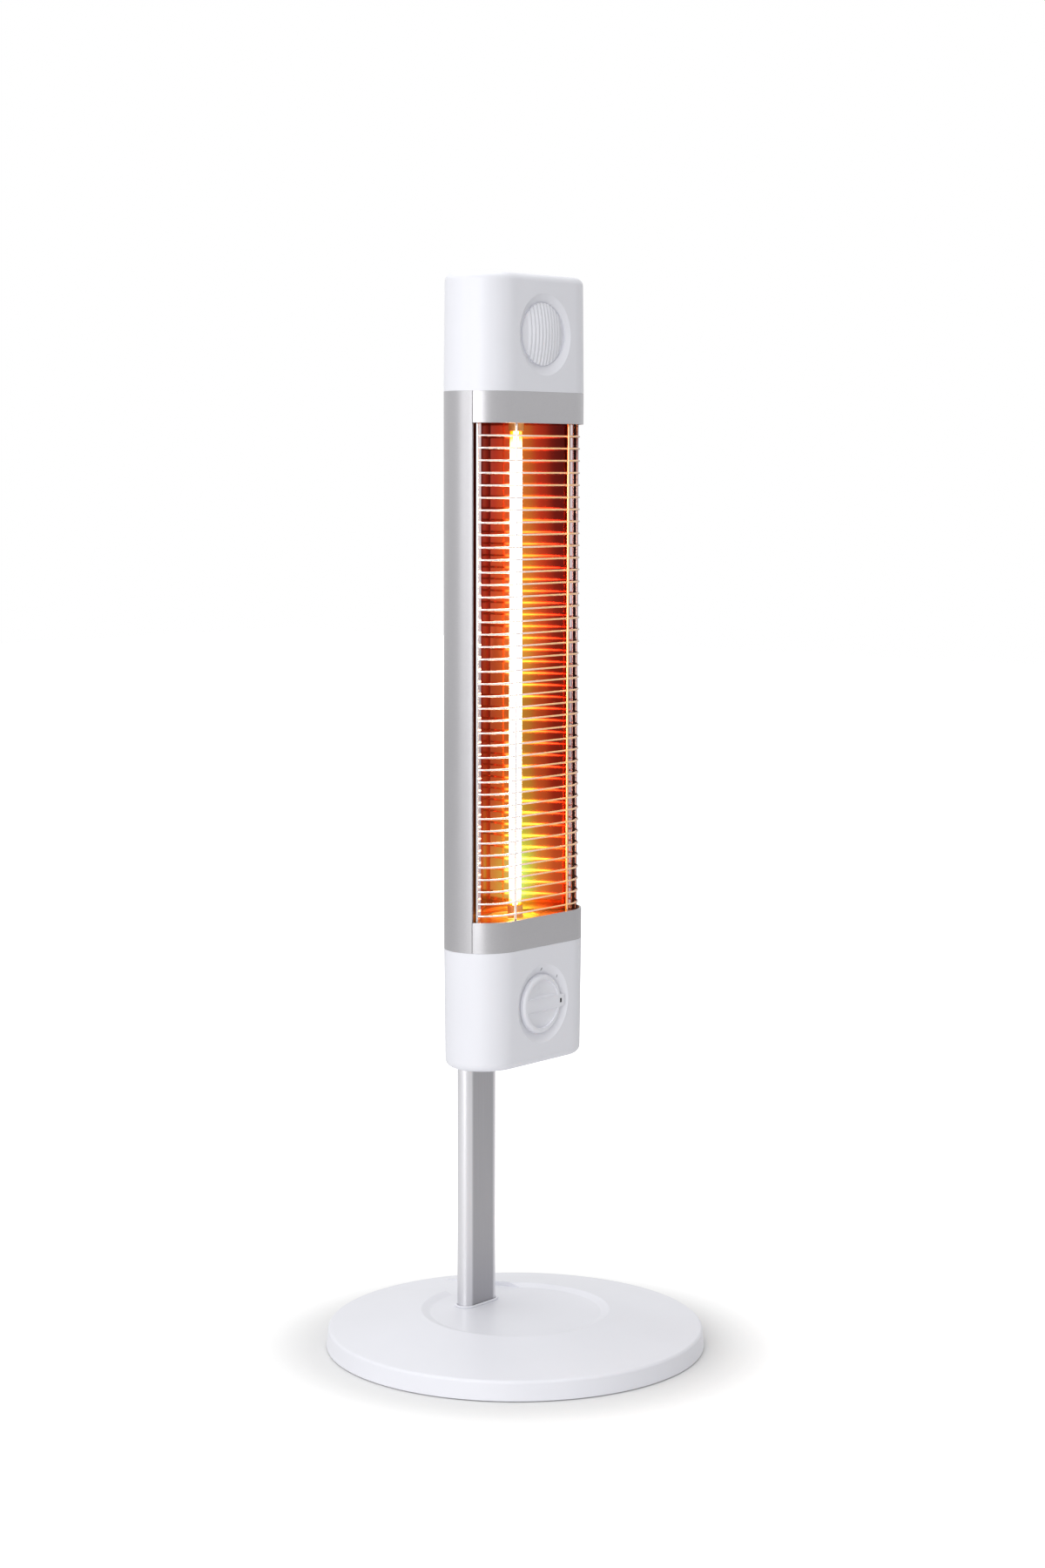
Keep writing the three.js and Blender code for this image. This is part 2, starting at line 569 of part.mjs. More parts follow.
// ---------------------------------------------------------------- pole
const pole = cut(
  polePrism(0, POLE_FOOT_Z, POLE_TOP_Z),
  polePrism(-POLE_WALL, POLE_FOOT_Z - CUT_MARGIN, POLE_TOP_Z + CUT_MARGIN),
);

// Threaded block inside the pole's foot, with a hole for each bolt.
function poleFootInsert() {
  const top = POLE_FOOT_Z + INSERT_HEIGHT;
  const holes = boltPlaces.map(([x, y]) => pillar(x, y, BOLT_RADIUS + FIT_GAP, 0, top + CUT_MARGIN));
  return cut(polePrism(-POLE_WALL - FIT_GAP, POLE_FOOT_Z, top), ...holes);
}

// Stepped bead round the pole where it leaves the recess floor.
function poleFootCollar() {
  const outer = FIT_GAP + COLLAR_WIDTH;
  const top = RECESS_HEIGHT + COLLAR_HEIGHT;
  const lower = polePrism(outer, RECESS_HEIGHT, top - COLLAR_ROUNDING);
  const upper = polePrism(outer - COLLAR_ROUNDING, RECESS_HEIGHT, top);
  return cut(joined(lower, upper), polePrism(FIT_GAP, 0, top + CUT_MARGIN));
}

function poleTopPlug() {
  const lid = polePrism(PLUG_LIP, POLE_TOP_Z, POLE_TOP_Z + PLUG_CAP_HEIGHT);
  const spigot = polePrism(-POLE_WALL - FIT_GAP, POLE_TOP_Z - PLUG_DEPTH, POLE_TOP_Z);
  return joined(lid, spigot);
}

place(stand, 'pole', ALUMINIUM, pole);
place(stand, 'pole_foot_insert', ALUMINIUM, poleFootInsert());
place(stand, 'pole_foot_collar', WHITE, poleFootCollar());
place(stand, 'pole_top_plug', BLACK, poleTopPlug());
boltPlaces.forEach(([x, y], i) => {
  const length = POLE_FOOT_Z + INSERT_HEIGHT - PLATE_TOP_Z - BOLT_HEAD_HEIGHT;
  const bolt = screw(BOLT_HEAD_RADIUS, BOLT_HEAD_HEIGHT - FIT_GAP, BOLT_RADIUS, length)
    .rotate([180, 0, 0]).translate([x, y, PLATE_TOP_Z + BOLT_HEAD_HEIGHT]);
  place(stand, `pole_bolt_${i + 1}`, STEEL, bolt);
});

// ---------------------------------------------------------------- clamps
function mountingClamp(z) {
  const top = z + CLAMP_HEIGHT / 2;
  const bottom = z - CLAMP_HEIGHT / 2;
  const over = top + CUT_MARGIN;
  const under = bottom - CUT_MARGIN;
  const halfWidth = CLAMP_SCREW_HALF_SPACING + CLAMP_EAR_MARGIN;
  const hug = polePrism(FIT_GAP + CLAMP_WALL, bottom, top);
  const ears = block([-halfWidth, CLAMP_FRONT_Y, bottom],
    [halfWidth, CLAMP_FRONT_Y + CLAMP_WALL, top]);
  const inFront = block([-halfWidth, BODY_FRONT_Y, under], [halfWidth, CLAMP_FRONT_Y, over]);
  const poleRoom = polePrism(FIT_GAP, under, over);
  const halfFlat = (POLE_WIDTH - POLE_THICKNESS) / 2;
  const slot = block([-halfFlat - POLE_THICKNESS / 2 - FIT_GAP, BODY_BACK_Y, under],
    [halfFlat + POLE_THICKNESS / 2 + FIT_GAP, POLE_CENTRE_Y, over]);
  const holes = [-1, 1].map((side) => facingBack(
    pillar(0, 0, SCREW_RADIUS + FIT_GAP, -CUT_MARGIN, CLAMP_WALL + CUT_MARGIN),
    side * CLAMP_SCREW_HALF_SPACING, CLAMP_FRONT_Y, z,
  ));
  return cut(joined(hug, ears), inFront, poleRoom, slot, ...holes);
}

const CLAMP_FRONT_Y = BODY_BACK_Y + FIT_GAP;

place(stand, 'mounting_clamp_lower', BLACK, mountingClamp(CLAMP_LOWER_Z));
place(stand, 'mounting_clamp_upper', BLACK, mountingClamp(CLAMP_UPPER_Z));

const clampScrewPlaces = [CLAMP_LOWER_Z, CLAMP_UPPER_Z].flatMap((z) =>
  [-1, 1].map((side) => [side * CLAMP_SCREW_HALF_SPACING, z]));
clampScrewPlaces.forEach(([x, z], i) => {
  const fixing = facingBack(smallScrew(), x, CLAMP_FRONT_Y + CLAMP_WALL, z);
  place(stand, `clamp_screw_${i + 1}`, STEEL, fixing);
});

// ---------------------------------------------------------------- housing and bands
const capScrewPlaces = [LOWER_BAND_Z + SPIGOT_HEIGHT / 2, UPPER_CAP_Z - SPIGOT_HEIGHT / 2]
  .flatMap((z) => [-1, 1].map((side) => [side * CAP_SCREW_HALF_SPACING, z]));

const backHole = (x, z) => facingBack(pillar(0, 0, SCREW_RADIUS + FIT_GAP, -SCREW_LENGTH - FIT_GAP,
  CUT_MARGIN), x, BODY_BACK_Y, z);

// A ring of the body's outline, between two insets and two heights.
const bodyRing = (outer, inner, z0, z1) =>
  cut(bodyPrism(outer, z0, z1), bodyPrism(inner, z0 - CUT_MARGIN, z1 + CUT_MARGIN));

const frontHalf = (gap) => block([-BODY_WIDTH, -BODY_WIDTH, 0],
  [BODY_WIDTH, SEAM_Y - gap, BODY_TOP_Z + CUT_MARGIN]);

const rearHousing = cut(
  bodyRing(0, SHEET_WALL, LOWER_BAND_Z, UPPER_CAP_Z),
  frontHalf(0),
  ...[...clampScrewPlaces, ...capScrewPlaces].map(([x, z]) => backHole(x, z)),
);
const frontBand = (z) =>
  bodyRing(0, SHEET_WALL, z, z + BAND_HEIGHT).intersect(frontHalf(FIT_GAP));

place(body, 'rear_housing', SILVER, rearHousing);
place(body, 'lower_band', SILVER, frontBand(LOWER_BAND_Z));
place(body, 'upper_band', SILVER, frontBand(WINDOW_TOP_Z));

capScrewPlaces.forEach(([x, z], i) => {
  place(body, `cap_screw_${i + 1}`, STEEL, facingBack(smallScrew(), x, BODY_BACK_Y, z));
});

// ---------------------------------------------------------------- caps
// Levels of a cap from its seam to its end, as [distance from the seam, inset].
function capLevels(height, inset) {
  const fillet = CAP_FILLET - inset;
  const levels = [[0, inset]];
  for (let step = 0; step <= FILLET_STEPS; step += 1) {
    const angle = Math.PI / 2 * step / FILLET_STEPS;
    levels.push([
      height - inset - fillet + fillet * Math.sin(angle),
      inset + CAP_DRAFT + fillet * (1 - Math.cos(angle)),
    ]);
  }
  return levels;
}

// Hollow cap whose seam is at one height and whose end is up (+1) or down (-1).
function capShell(seamZ, height, up) {
  const stack = (inset) => {
    const levels = capLevels(height, inset).map(([run, step]) => [seamZ + up * run, step]);
    return up > 0 ? levels : levels.reverse();
  };
  const outer = loft(stack(0));
  const mouth = up > 0 ? [[seamZ - CUT_MARGIN, CAP_WALL]] : [];
  const mouthAbove = up > 0 ? [] : [[seamZ + CUT_MARGIN, CAP_WALL]];
  const inner = loft([...mouth, ...stack(CAP_WALL), ...mouthAbove]);
  const shell = cut(outer, inner);
  const spigotOuter = SHEET_WALL + FIT_GAP;
  const z0 = up > 0 ? seamZ - SPIGOT_HEIGHT : seamZ - CAP_WALL;
  const z1 = up > 0 ? seamZ + CAP_WALL : seamZ + SPIGOT_HEIGHT;
  const spigot = bodyRing(spigotOuter, spigotOuter + SPIGOT_WALL, z0, z1);
  return joined(shell, spigot);
}

// Disc behind a cap's front that a dish is sunk into.
function dishBacking(faceY, z) {
  const radius = DISH_RADIUS + DISH_BACKING;
  return facingFront(turned([
    [0, -DISH_DEPTH - DISH_BACKING], [radius, -DISH_DEPTH - DISH_BACKING],
    [radius, -CAP_WALL / 2], [0, -CAP_WALL / 2],
  ], DISH_SEGMENTS), 0, faceY, z);
}

// Conical cutter for a dish.
function dishTool(faceY, z) {
  const slope = (DISH_RADIUS - DISH_FLOOR_RADIUS) / DISH_DEPTH;
  return facingFront(turned([
    [0, -DISH_DEPTH], [DISH_FLOOR_RADIUS, -DISH_DEPTH],
    [DISH_RADIUS + slope * CUT_MARGIN, CUT_MARGIN], [0, CUT_MARGIN],
  ], DISH_SEGMENTS), 0, faceY, z);
}

const capScrewHoles = (places) => places.map(([x, z]) => backHole(x, z));

// The upper dish is widened sideways by an oval pocket, which gives it its eye shape.
function upperCap() {
  const pocketGeometry = new THREE.CylinderGeometry(1, 1, DISH_DEPTH + CUT_MARGIN, DISH_SEGMENTS);
  pocketGeometry.scale(EYE_POCKET_HALF_WIDTH, 1, EYE_POCKET_HALF_HEIGHT);
  pocketGeometry.translate(0, EYE_FACE_Y + (DISH_DEPTH - CUT_MARGIN) / 2, EYE_Z);
  const backed = joined(capShell(UPPER_CAP_Z, UPPER_CAP_HEIGHT, 1), dishBacking(EYE_FACE_Y, EYE_Z));
  return cut(backed, dishTool(EYE_FACE_Y, EYE_Z), solid(pocketGeometry),
    ...capScrewHoles(capScrewPlaces.slice(2)));
}

function lowerCap() {
  const backed = joined(capShell(LOWER_BAND_Z, LOWER_CAP_HEIGHT, -1),
    dishBacking(DIAL_FACE_Y, DIAL_Z));
  const hubHole = facingFront(pillar(0, 0, HUB_RADIUS + FIT_GAP, -DISH_DEPTH - DISH_BACKING - CUT_MARGIN,
    0, ROUND_SEGMENTS), 0, DIAL_FACE_Y, DIAL_Z);
  const screwSeats = switchScrewPlaces.map(([x, z]) =>
    facingFront(switchScrew(FIT_GAP), x, DIAL_FACE_Y + DISH_DEPTH, z));
  const glandHole = facingBack(pillar(0, 0, GLAND_RADIUS + FIT_GAP, -GLAND_INSIDE, CUT_MARGIN,
    ROUND_SEGMENTS), GLAND_X, BODY_BACK_Y, GLAND_Z);
  return cut(backed, dishTool(DIAL_FACE_Y, DIAL_Z), hubHole, ...screwSeats, glandHole,
    ...capScrewHoles(capScrewPlaces.slice(0, 2)));
}

// Countersunk screw, its head flush with z = 0, or the seat that clears it.
function switchScrew(clearance) {
  const head = SWITCH_SCREW_HEAD_RADIUS + clearance;
  const shank = SWITCH_SCREW_RADIUS + clearance;
  const depth = SWITCH_SCREW_HEAD_DEPTH + clearance;
  const above = clearance > 0 ? CUT_MARGIN : 0;
  return turned([
    [0, -SWITCH_SCREW_LENGTH - clearance], [shank, -SWITCH_SCREW_LENGTH - clearance],
    [shank, -depth], [head, -clearance], [head, above], [0, above],
  ], FASTENER_SEGMENTS);
}

const switchScrewPlaces = [-1, 1].map((side) => [side * SWITCH_SCREW_HALF_SPACING, DIAL_Z]);

// Disc with a shallow dome and upright ribs, seated on the eye's floor. Its
// front is a grid of heights: a rib is two columns wide, and so is a groove.
function ribbedInsert() {
  const domeRadius = (INSERT_RADIUS ** 2 + INSERT_DOME ** 2) / (2 * INSERT_DOME);
  const pitch = 2 * INSERT_RADIUS / RIB_COUNT;
  const flank = pitch * (1 - RIB_FILL) / 4;
  const columns = [];
  for (let i = 0; i < RIB_COUNT; i += 1) {
    const x = i * pitch - INSERT_RADIUS;
    columns.push([x + flank, 0], [x + 2 * flank, 1]);
    columns.push([x + pitch - 2 * flank, 1], [x + pitch - flank, 0]);
  }
  const dome = (x, y) => INSERT_RIM_THICKNESS + INSERT_DOME - domeRadius
    + Math.sqrt(Math.max(domeRadius ** 2 - x * x - y * y, 0));
  const positions = [];
  const faces = [];
  const rows = DOME_STEPS + 1;
  for (const [x, rib] of columns) {
    for (let row = 0; row < rows; row += 1) {
      const y = (INSERT_RADIUS + CUT_MARGIN) * (2 * row / DOME_STEPS - 1);
      positions.push(x, y, dome(x, y) + rib * RIB_HEIGHT, x, y, 0);
    }
  }
  const at = (column, row, low) => 2 * (column * rows + row) + low;
  const quad = (a, b, c, d) => faces.push(a, b, c, a, c, d);
  for (let i = 0; i < columns.length - 1; i += 1) {
    for (let row = 0; row < rows - 1; row += 1) {
      quad(at(i, row, 0), at(i + 1, row, 0), at(i + 1, row + 1, 0), at(i, row + 1, 0));
      quad(at(i, row, 1), at(i, row + 1, 1), at(i + 1, row + 1, 1), at(i + 1, row, 1));
    }
    quad(at(i, 0, 1), at(i + 1, 0, 1), at(i + 1, 0, 0), at(i, 0, 0));
    quad(at(i, rows - 1, 0), at(i + 1, rows - 1, 0), at(i + 1, rows - 1, 1), at(i, rows - 1, 1));
  }
  const last = columns.length - 1;
  for (let row = 0; row < rows - 1; row += 1) {
    quad(at(0, row, 0), at(0, row + 1, 0), at(0, row + 1, 1), at(0, row, 1));
    quad(at(last, row, 1), at(last, row + 1, 1), at(last, row + 1, 0), at(last, row, 0));
  }
  const geometry = new THREE.BufferGeometry();
  geometry.setAttribute('position', new THREE.Float32BufferAttribute(positions, 3));
  geometry.setIndex(faces);
  const round = pillar(0, 0, INSERT_RADIUS, 0, INSERT_RADIUS, DISH_SEGMENTS);
  const rim = pillar(0, 0, INSERT_RADIUS, 0, INSERT_RIM_THICKNESS, DISH_SEGMENTS);
  return facingFront(joined(solid(geometry).intersect(round), rim), 0, EYE_FACE_Y + DISH_DEPTH, EYE_Z);
}

const GLAND_Z = BODY_BOTTOM_Z + GLAND_HEIGHT;

place(body, 'upper_cap', WHITE, upperCap());
place(body, 'lower_cap', WHITE, lowerCap());
place(body, 'ribbed_insert', WHITE, ribbedInsert());

// ---------------------------------------------------------------- window
function endPlate(z0, z1) {
  const plate = bodyPrism(SHEET_WALL + FIT_GAP, z0, z1);
  const lampHole = pillar(0, LAMP_Y, LAMP_HOLE_RADIUS, z0 - CUT_MARGIN, z1 + CUT_MARGIN, ROUND_SEGMENTS);
  const leadHole = pillar(LEAD_CHANNEL_X, LEAD_CHANNEL_Y, LEAD_HOLE_RADIUS, z0 - CUT_MARGIN,
    z1 + CUT_MARGIN);
  return cut(plate, lampHole, leadHole);
}

// Polished trough: a parabola with the lamp in its focus, and a lip on each side.
function reflector() {
  const trough = (x) => REFLECTOR_BACK_Y - x * x / (4 * REFLECTOR_FOCUS);
  const edgeX = REFLECTOR_HALF_WIDTH;
  const edgeY = trough(edgeX);
  const front = [];
  const back = [];
  for (let step = 0; step <= REFLECTOR_STEPS; step += 1) {
    const x = edgeX * (2 * step / REFLECTOR_STEPS - 1);
    const normal = new THREE.Vector2(x / (2 * REFLECTOR_FOCUS), 1).normalize();
    front.push([x, trough(x)]);
    back.push([x + REFLECTOR_SHEET * normal.x, trough(x) + REFLECTOR_SHEET * normal.y]);
  }
  const lipEnd = edgeX + REFLECTOR_LIP;
  const outline = [
    [-lipEnd, edgeY], ...front, [lipEnd, edgeY], [lipEnd, edgeY + REFLECTOR_SHEET],
    ...back.reverse().slice(1, -1), [-lipEnd, edgeY + REFLECTOR_SHEET],
  ];
  const shape = new THREE.Shape(outline.map(([x, y]) => new THREE.Vector2(x, y)));
  return raised(shape, LOWER_PLATE_TOP_Z + FIT_GAP, UPPER_PLATE_BOTTOM_Z - FIT_GAP);
}

// Wires bent round the front of the window, welded behind upright rods.
function wireGuard() {
  const run = (BODY_WIDTH - BODY_DEPTH) / 2;
  const endY = SEAM_Y - WIRE_END_BACKSET;
  const bend = BODY_DEPTH / 2 - WIRE_INSET;
  const stop = Math.asin((BODY_CENTRE_Y - endY) / bend);
  const corners = [];
  for (let step = 0; step <= WIRE_END_STEPS; step += 1) {
    const angle = stop + (Math.PI / 2 - stop) * step / WIRE_END_STEPS;
    corners.push([run + bend * Math.cos(angle), BODY_CENTRE_Y - bend * Math.sin(angle)]);
  }
  const left = corners.map(([x, y]) => new THREE.Vector2(-x, y));
  const right = corners.reverse().map(([x, y]) => new THREE.Vector2(x, y));
  const wire = sweptWire([...left, ...right], WIRE_RADIUS);
  const wires = [];
  for (let i = 0; i < WIRE_COUNT; i += 1) {
    wires.push(wire.translate([0, 0, WINDOW_BOTTOM_Z + FIRST_WIRE_RISE + i * WIRE_PITCH]));
  }
  const rodBend = BODY_DEPTH / 2 - ROD_INSET;
  const endX = run + rodBend * Math.cos(Math.asin((BODY_CENTRE_Y - endY) / rodBend));
  const frontY = BODY_FRONT_Y + ROD_INSET;
  const rodPlaces = [[-endX, endY], [-ROD_HALF_SPACING, frontY],
    [ROD_HALF_SPACING, frontY], [endX, endY]];
  const rods = rodPlaces.map(([x, y]) => pillar(x, y, ROD_RADIUS,
    LOWER_PLATE_TOP_Z + FIT_GAP, UPPER_PLATE_BOTTOM_Z - FIT_GAP, WIRE_SIDES));
  return joined(...wires, ...rods);
}

// Square wire through points of a level plane, mitred at each bend, with the
// same section area as the round one.
function sweptWire(points, radius) {
  const positions = [];
  const faces = [];
  const half = radius * Math.sqrt(Math.PI) / 2;
  const corners = [[-1, -1], [1, -1], [1, 1], [-1, 1]];
  points.forEach((point, i) => {
    const before = points[Math.max(i - 1, 0)];
    const after = points[Math.min(i + 1, points.length - 1)];
    const along = after.clone().sub(before).normalize();
    for (const [across, up] of corners) {
      positions.push(point.x - along.y * half * across, point.y + along.x * half * across, up * half);
    }
  });
  const sides = corners.length;
  for (let i = 0; i < points.length - 1; i += 1) {
    for (let k = 0; k < sides; k += 1) {
      const a = sides * i + k;
      const b = sides * i + (k + 1) % sides;
      faces.push(a, b, b + sides, a, b + sides, a + sides);
    }
  }
  const end = sides * (points.length - 1);
  faces.push(0, 2, 1, 0, 3, 2, end, end + 1, end + 2, end, end + 2, end + 3);
  const geometry = new THREE.BufferGeometry();
  geometry.setAttribute('position', new THREE.Float32BufferAttribute(positions, 3));
  geometry.setIndex(faces);
  return solid(geometry);
}

const LEAD_CHANNEL_Y = (REFLECTOR_BACK_Y + REFLECTOR_SHEET + BODY_BACK_Y - SHEET_WALL) / 2;

place(body, 'lower_end_plate', POLISHED, endPlate(LOWER_PLATE_BOTTOM_Z, LOWER_PLATE_TOP_Z));
place(body, 'upper_end_plate', POLISHED, endPlate(UPPER_PLATE_BOTTOM_Z, UPPER_PLATE_TOP_Z));
place(body, 'reflector', POLISHED, reflector());
place(body, 'wire_guard', CHROME, wireGuard());

// ---------------------------------------------------------------- lamp
const LAMP_END_IN_Z = LOWER_PLATE_TOP_Z + LAMP_END_SHOWS;
const LAMP_END_OUT_Z = LAMP_END_IN_Z - LAMP_END_LENGTH;
const WINDOW_MIDDLE_Z = (LOWER_PLATE_TOP_Z + UPPER_PLATE_BOTTOM_Z) / 2;
const mirrorUp = (z) => 2 * WINDOW_MIDDLE_Z - z;
const TUBE_BOTTOM_Z = LAMP_END_IN_Z - LAMP_END_GRIP + FIT_GAP;

const lampTube = cut(
  pillar(0, LAMP_Y, LAMP_RADIUS, TUBE_BOTTOM_Z, mirrorUp(TUBE_BOTTOM_Z), ROUND_SEGMENTS),
  pillar(0, LAMP_Y, LAMP_RADIUS - LAMP_GLASS, 0, mirrorUp(0), ROUND_SEGMENTS),
);

const elementReach = LAMP_END_IN_Z - LAMP_END_GRIP;
const carbonElement = block(
  [-ELEMENT_WIDTH / 2, LAMP_Y - ELEMENT_THICKNESS / 2, elementReach],
  [ELEMENT_WIDTH / 2, LAMP_Y + ELEMENT_THICKNESS / 2, mirrorUp(elementReach)],
);

const lampEnd = cut(
  pillar(0, LAMP_Y, LAMP_END_RADIUS, LAMP_END_OUT_Z, LAMP_END_IN_Z, ROUND_SEGMENTS),
  pillar(0, LAMP_Y, LAMP_RADIUS + FIT_GAP, LAMP_END_IN_Z - LAMP_END_GRIP,
    LAMP_END_IN_Z + CUT_MARGIN, ROUND_SEGMENTS),
);

// Spring clip round a ceramic end, open to the front, with a foot on the plate.
function lampClip() {
  const inner = LAMP_END_RADIUS + FIT_GAP;
  const outer = inner + CLIP_SHEET;
  const top = LOWER_PLATE_BOTTOM_Z;
  const ringTop = top - CLIP_DROP;
  const ring = cut(pillar(0, LAMP_Y, outer, ringTop - CLIP_HEIGHT, ringTop, ROUND_SEGMENTS),
    pillar(0, LAMP_Y, inner, 0, top, ROUND_SEGMENTS));
  const halfOpening = outer * Math.tan(THREE.MathUtils.degToRad(CLIP_OPENING_DEG / 2));
  const opening = block([-halfOpening, LAMP_Y - 2 * outer, 0], [halfOpening, LAMP_Y - inner / 2, top]);
  const riser = block([-CLIP_FOOT / 2, LAMP_Y + inner, ringTop - CLIP_HEIGHT],
    [CLIP_FOOT / 2, LAMP_Y + outer, top]);
  const foot = block([-CLIP_FOOT / 2, LAMP_Y + inner, top - CLIP_SHEET],
    [CLIP_FOOT / 2, LAMP_Y + outer + CLIP_FOOT, top]);
  return joined(cut(ring, opening), riser, foot);
}

const flipped = (part) => part.mirror([0, 0, 1]).translate([0, 0, 2 * WINDOW_MIDDLE_Z]);

place(body, 'lamp_tube', GLASS, lampTube);
place(body, 'carbon_element', CARBON, carbonElement);
place(body, 'lamp_end_lower', CERAMIC, lampEnd);
place(body, 'lamp_end_upper', CERAMIC, flipped(lampEnd));
place(body, 'lamp_clip_lower', STEEL, lampClip());
place(body, 'lamp_clip_upper', STEEL, flipped(lampClip()));

// ---------------------------------------------------------------- knob and switch
const KNOB_BACK_Y = DIAL_FACE_Y + DISH_DEPTH - FIT_GAP;
const SWITCH_FRONT_Y = DIAL_FACE_Y + DISH_DEPTH + DISH_BACKING;
const HUB_LENGTH = SWITCH_FRONT_Y - FIT_GAP - KNOB_BACK_Y;
const SHAFT_TIP = KNOB_THICKNESS - GRIP_DIP - SHAFT_COVER - FIT_GAP;

// Made about +Z with the disc's back at z = 0, then turned to face the front.
function controlKnob() {
  const top = KNOB_THICKNESS;
  const over = KNOB_THICKNESS + CUT_MARGIN;
  const disc = turned([
    [0, 0], [KNOB_RADIUS, 0], [KNOB_FACE_RADIUS, top - KNOB_EDGE],
    [KNOB_FACE_RADIUS - KNOB_EDGE, top], [0, top],
  ], DISH_SEGMENTS);
  const hub = pillar(0, 0, HUB_RADIUS, -HUB_LENGTH, top / 2, ROUND_SEGMENTS);
  const pointer = block([KNOB_FACE_RADIUS / 2, -POINTER_WIDTH / 2, top - POINTER_THICKNESS],
    [POINTER_REACH, POINTER_WIDTH / 2, top]);
  const hollowRadius = KNOB_FACE_RADIUS - KNOB_RIM_WIDTH;
  const well = pillar(0, 0, hollowRadius, 0, over, DISH_SEGMENTS);
  const halfGrip = GRIP_WIDTH / 2;
  const sides = [
    block([-KNOB_RADIUS, halfGrip, 0], [KNOB_RADIUS, KNOB_RADIUS, over]),
    block([-KNOB_RADIUS, -KNOB_RADIUS, 0], [KNOB_RADIUS, -halfGrip, over]),
  ];
  const facets = joined(
    block([0, -KNOB_RADIUS, 0], [KNOB_RADIUS, KNOB_RADIUS, over]).rotate([0, -SCOOP_SLOPE_DEG, 0]),
    block([-KNOB_RADIUS, -KNOB_RADIUS, 0], [0, KNOB_RADIUS, over]).rotate([0, SCOOP_SLOPE_DEG, 0]),
  ).translate([0, 0, top - SCOOP_DEPTH]);
  const scoops = sides.map((side) => well.intersect(side).intersect(facets));
  const dipRadius = (hollowRadius ** 2 + GRIP_DIP ** 2) / (2 * GRIP_DIP);
  const dip = pillar(0, 0, dipRadius, -halfGrip, halfGrip, DIP_SEGMENTS)
    .rotate([90, 0, 0]).translate([0, 0, top + dipRadius - GRIP_DIP]);
  const bore = pillar(0, 0, SHAFT_RADIUS + FIT_GAP, -HUB_LENGTH - CUT_MARGIN, SHAFT_TIP + FIT_GAP,
    ROUND_SEGMENTS);
  const knob = cut(joined(disc, hub, pointer), ...scoops, dip, bore, markBlock(FIT_GAP / 2, over));
  return facingFront(knob, 0, KNOB_BACK_Y, DIAL_Z);
}

// The pointer's dark inlay, or its seat when grown by a gap.
function markBlock(gap, top) {
  const halfX = POINTER_MARK_WIDTH / 2 + gap;
  const halfY = POINTER_MARK_HEIGHT / 2 + gap;
  return block([POINTER_MARK_X - halfX, -halfY, KNOB_THICKNESS - POINTER_MARK_DEPTH - gap],
    [POINTER_MARK_X + halfX, halfY, top]);
}

const shaftInSwitch = SWITCH_DEPTH / 2;
const switchShaft = facingFront(
  pillar(0, 0, SHAFT_RADIUS, KNOB_BACK_Y - SWITCH_FRONT_Y - shaftInSwitch, SHAFT_TIP, ROUND_SEGMENTS),
  0, KNOB_BACK_Y, DIAL_Z,
);

function rotarySwitch() {
  const housing = block([-SWITCH_WIDTH / 2, SWITCH_FRONT_Y, DIAL_Z - SWITCH_HEIGHT / 2],
    [SWITCH_WIDTH / 2, SWITCH_FRONT_Y + SWITCH_DEPTH, DIAL_Z + SWITCH_HEIGHT / 2]);
  const bore = facingFront(pillar(0, 0, SHAFT_RADIUS + RUNNING_GAP, -shaftInSwitch - FIT_GAP,
    CUT_MARGIN, ROUND_SEGMENTS), 0, SWITCH_FRONT_Y, DIAL_Z);
  const pilots = switchScrewPlaces.map(([x, z]) =>
    facingFront(switchScrew(FIT_GAP), x, DIAL_FACE_Y + DISH_DEPTH, z));
  return cut(housing, bore, ...pilots);
}

place(controls, 'control_knob', WHITE, controlKnob());
place(controls, 'knob_pointer_mark', BLACK,
  facingFront(markBlock(0, KNOB_THICKNESS), 0, KNOB_BACK_Y, DIAL_Z));
place(controls, 'switch_shaft', STEEL, switchShaft);
place(controls, 'rotary_switch', BAKELITE, rotarySwitch());
switchScrewPlaces.forEach(([x, z], i) => {
  const fixing = facingFront(switchScrew(0), x, DIAL_FACE_Y + DISH_DEPTH, z);
  place(controls, `switch_screw_${i + 1}`, STEEL, fixing);
});

// ---------------------------------------------------------------- tip-over switch
const TIP_FLOOR_Z = CAP_FLOOR_Z + TIP_WALL;
const TIP_PIVOT_Z = TIP_FLOOR_Z + TIP_PIVOT_HEIGHT;
const alongX = (part, z) => part.rotate([0, 90, 0]).translate([TIP_SWITCH_X, TIP_SWITCH_Y, z]);

function tipSwitchHousing() {
  const outer = TIP_HALF_WIDTH + TIP_WALL;
  const top = TIP_PIVOT_Z + TIP_TOP_MARGIN;
  const shell = block([TIP_SWITCH_X - outer, TIP_SWITCH_Y - TIP_DEPTH / 2, CAP_FLOOR_Z],
    [TIP_SWITCH_X + outer, TIP_SWITCH_Y + TIP_DEPTH / 2, top]);
  const room = block([TIP_SWITCH_X - TIP_HALF_WIDTH, TIP_SWITCH_Y - TIP_DEPTH, TIP_FLOOR_Z],
    [TIP_SWITCH_X + TIP_HALF_WIDTH, TIP_SWITCH_Y + TIP_DEPTH, top + CUT_MARGIN]);
  const pinHole = alongX(pillar(0, 0, TIP_PIN_RADIUS + FIT_GAP, -2 * outer, 2 * outer), TIP_PIVOT_Z);
  return cut(shell, room, pinHole);
}

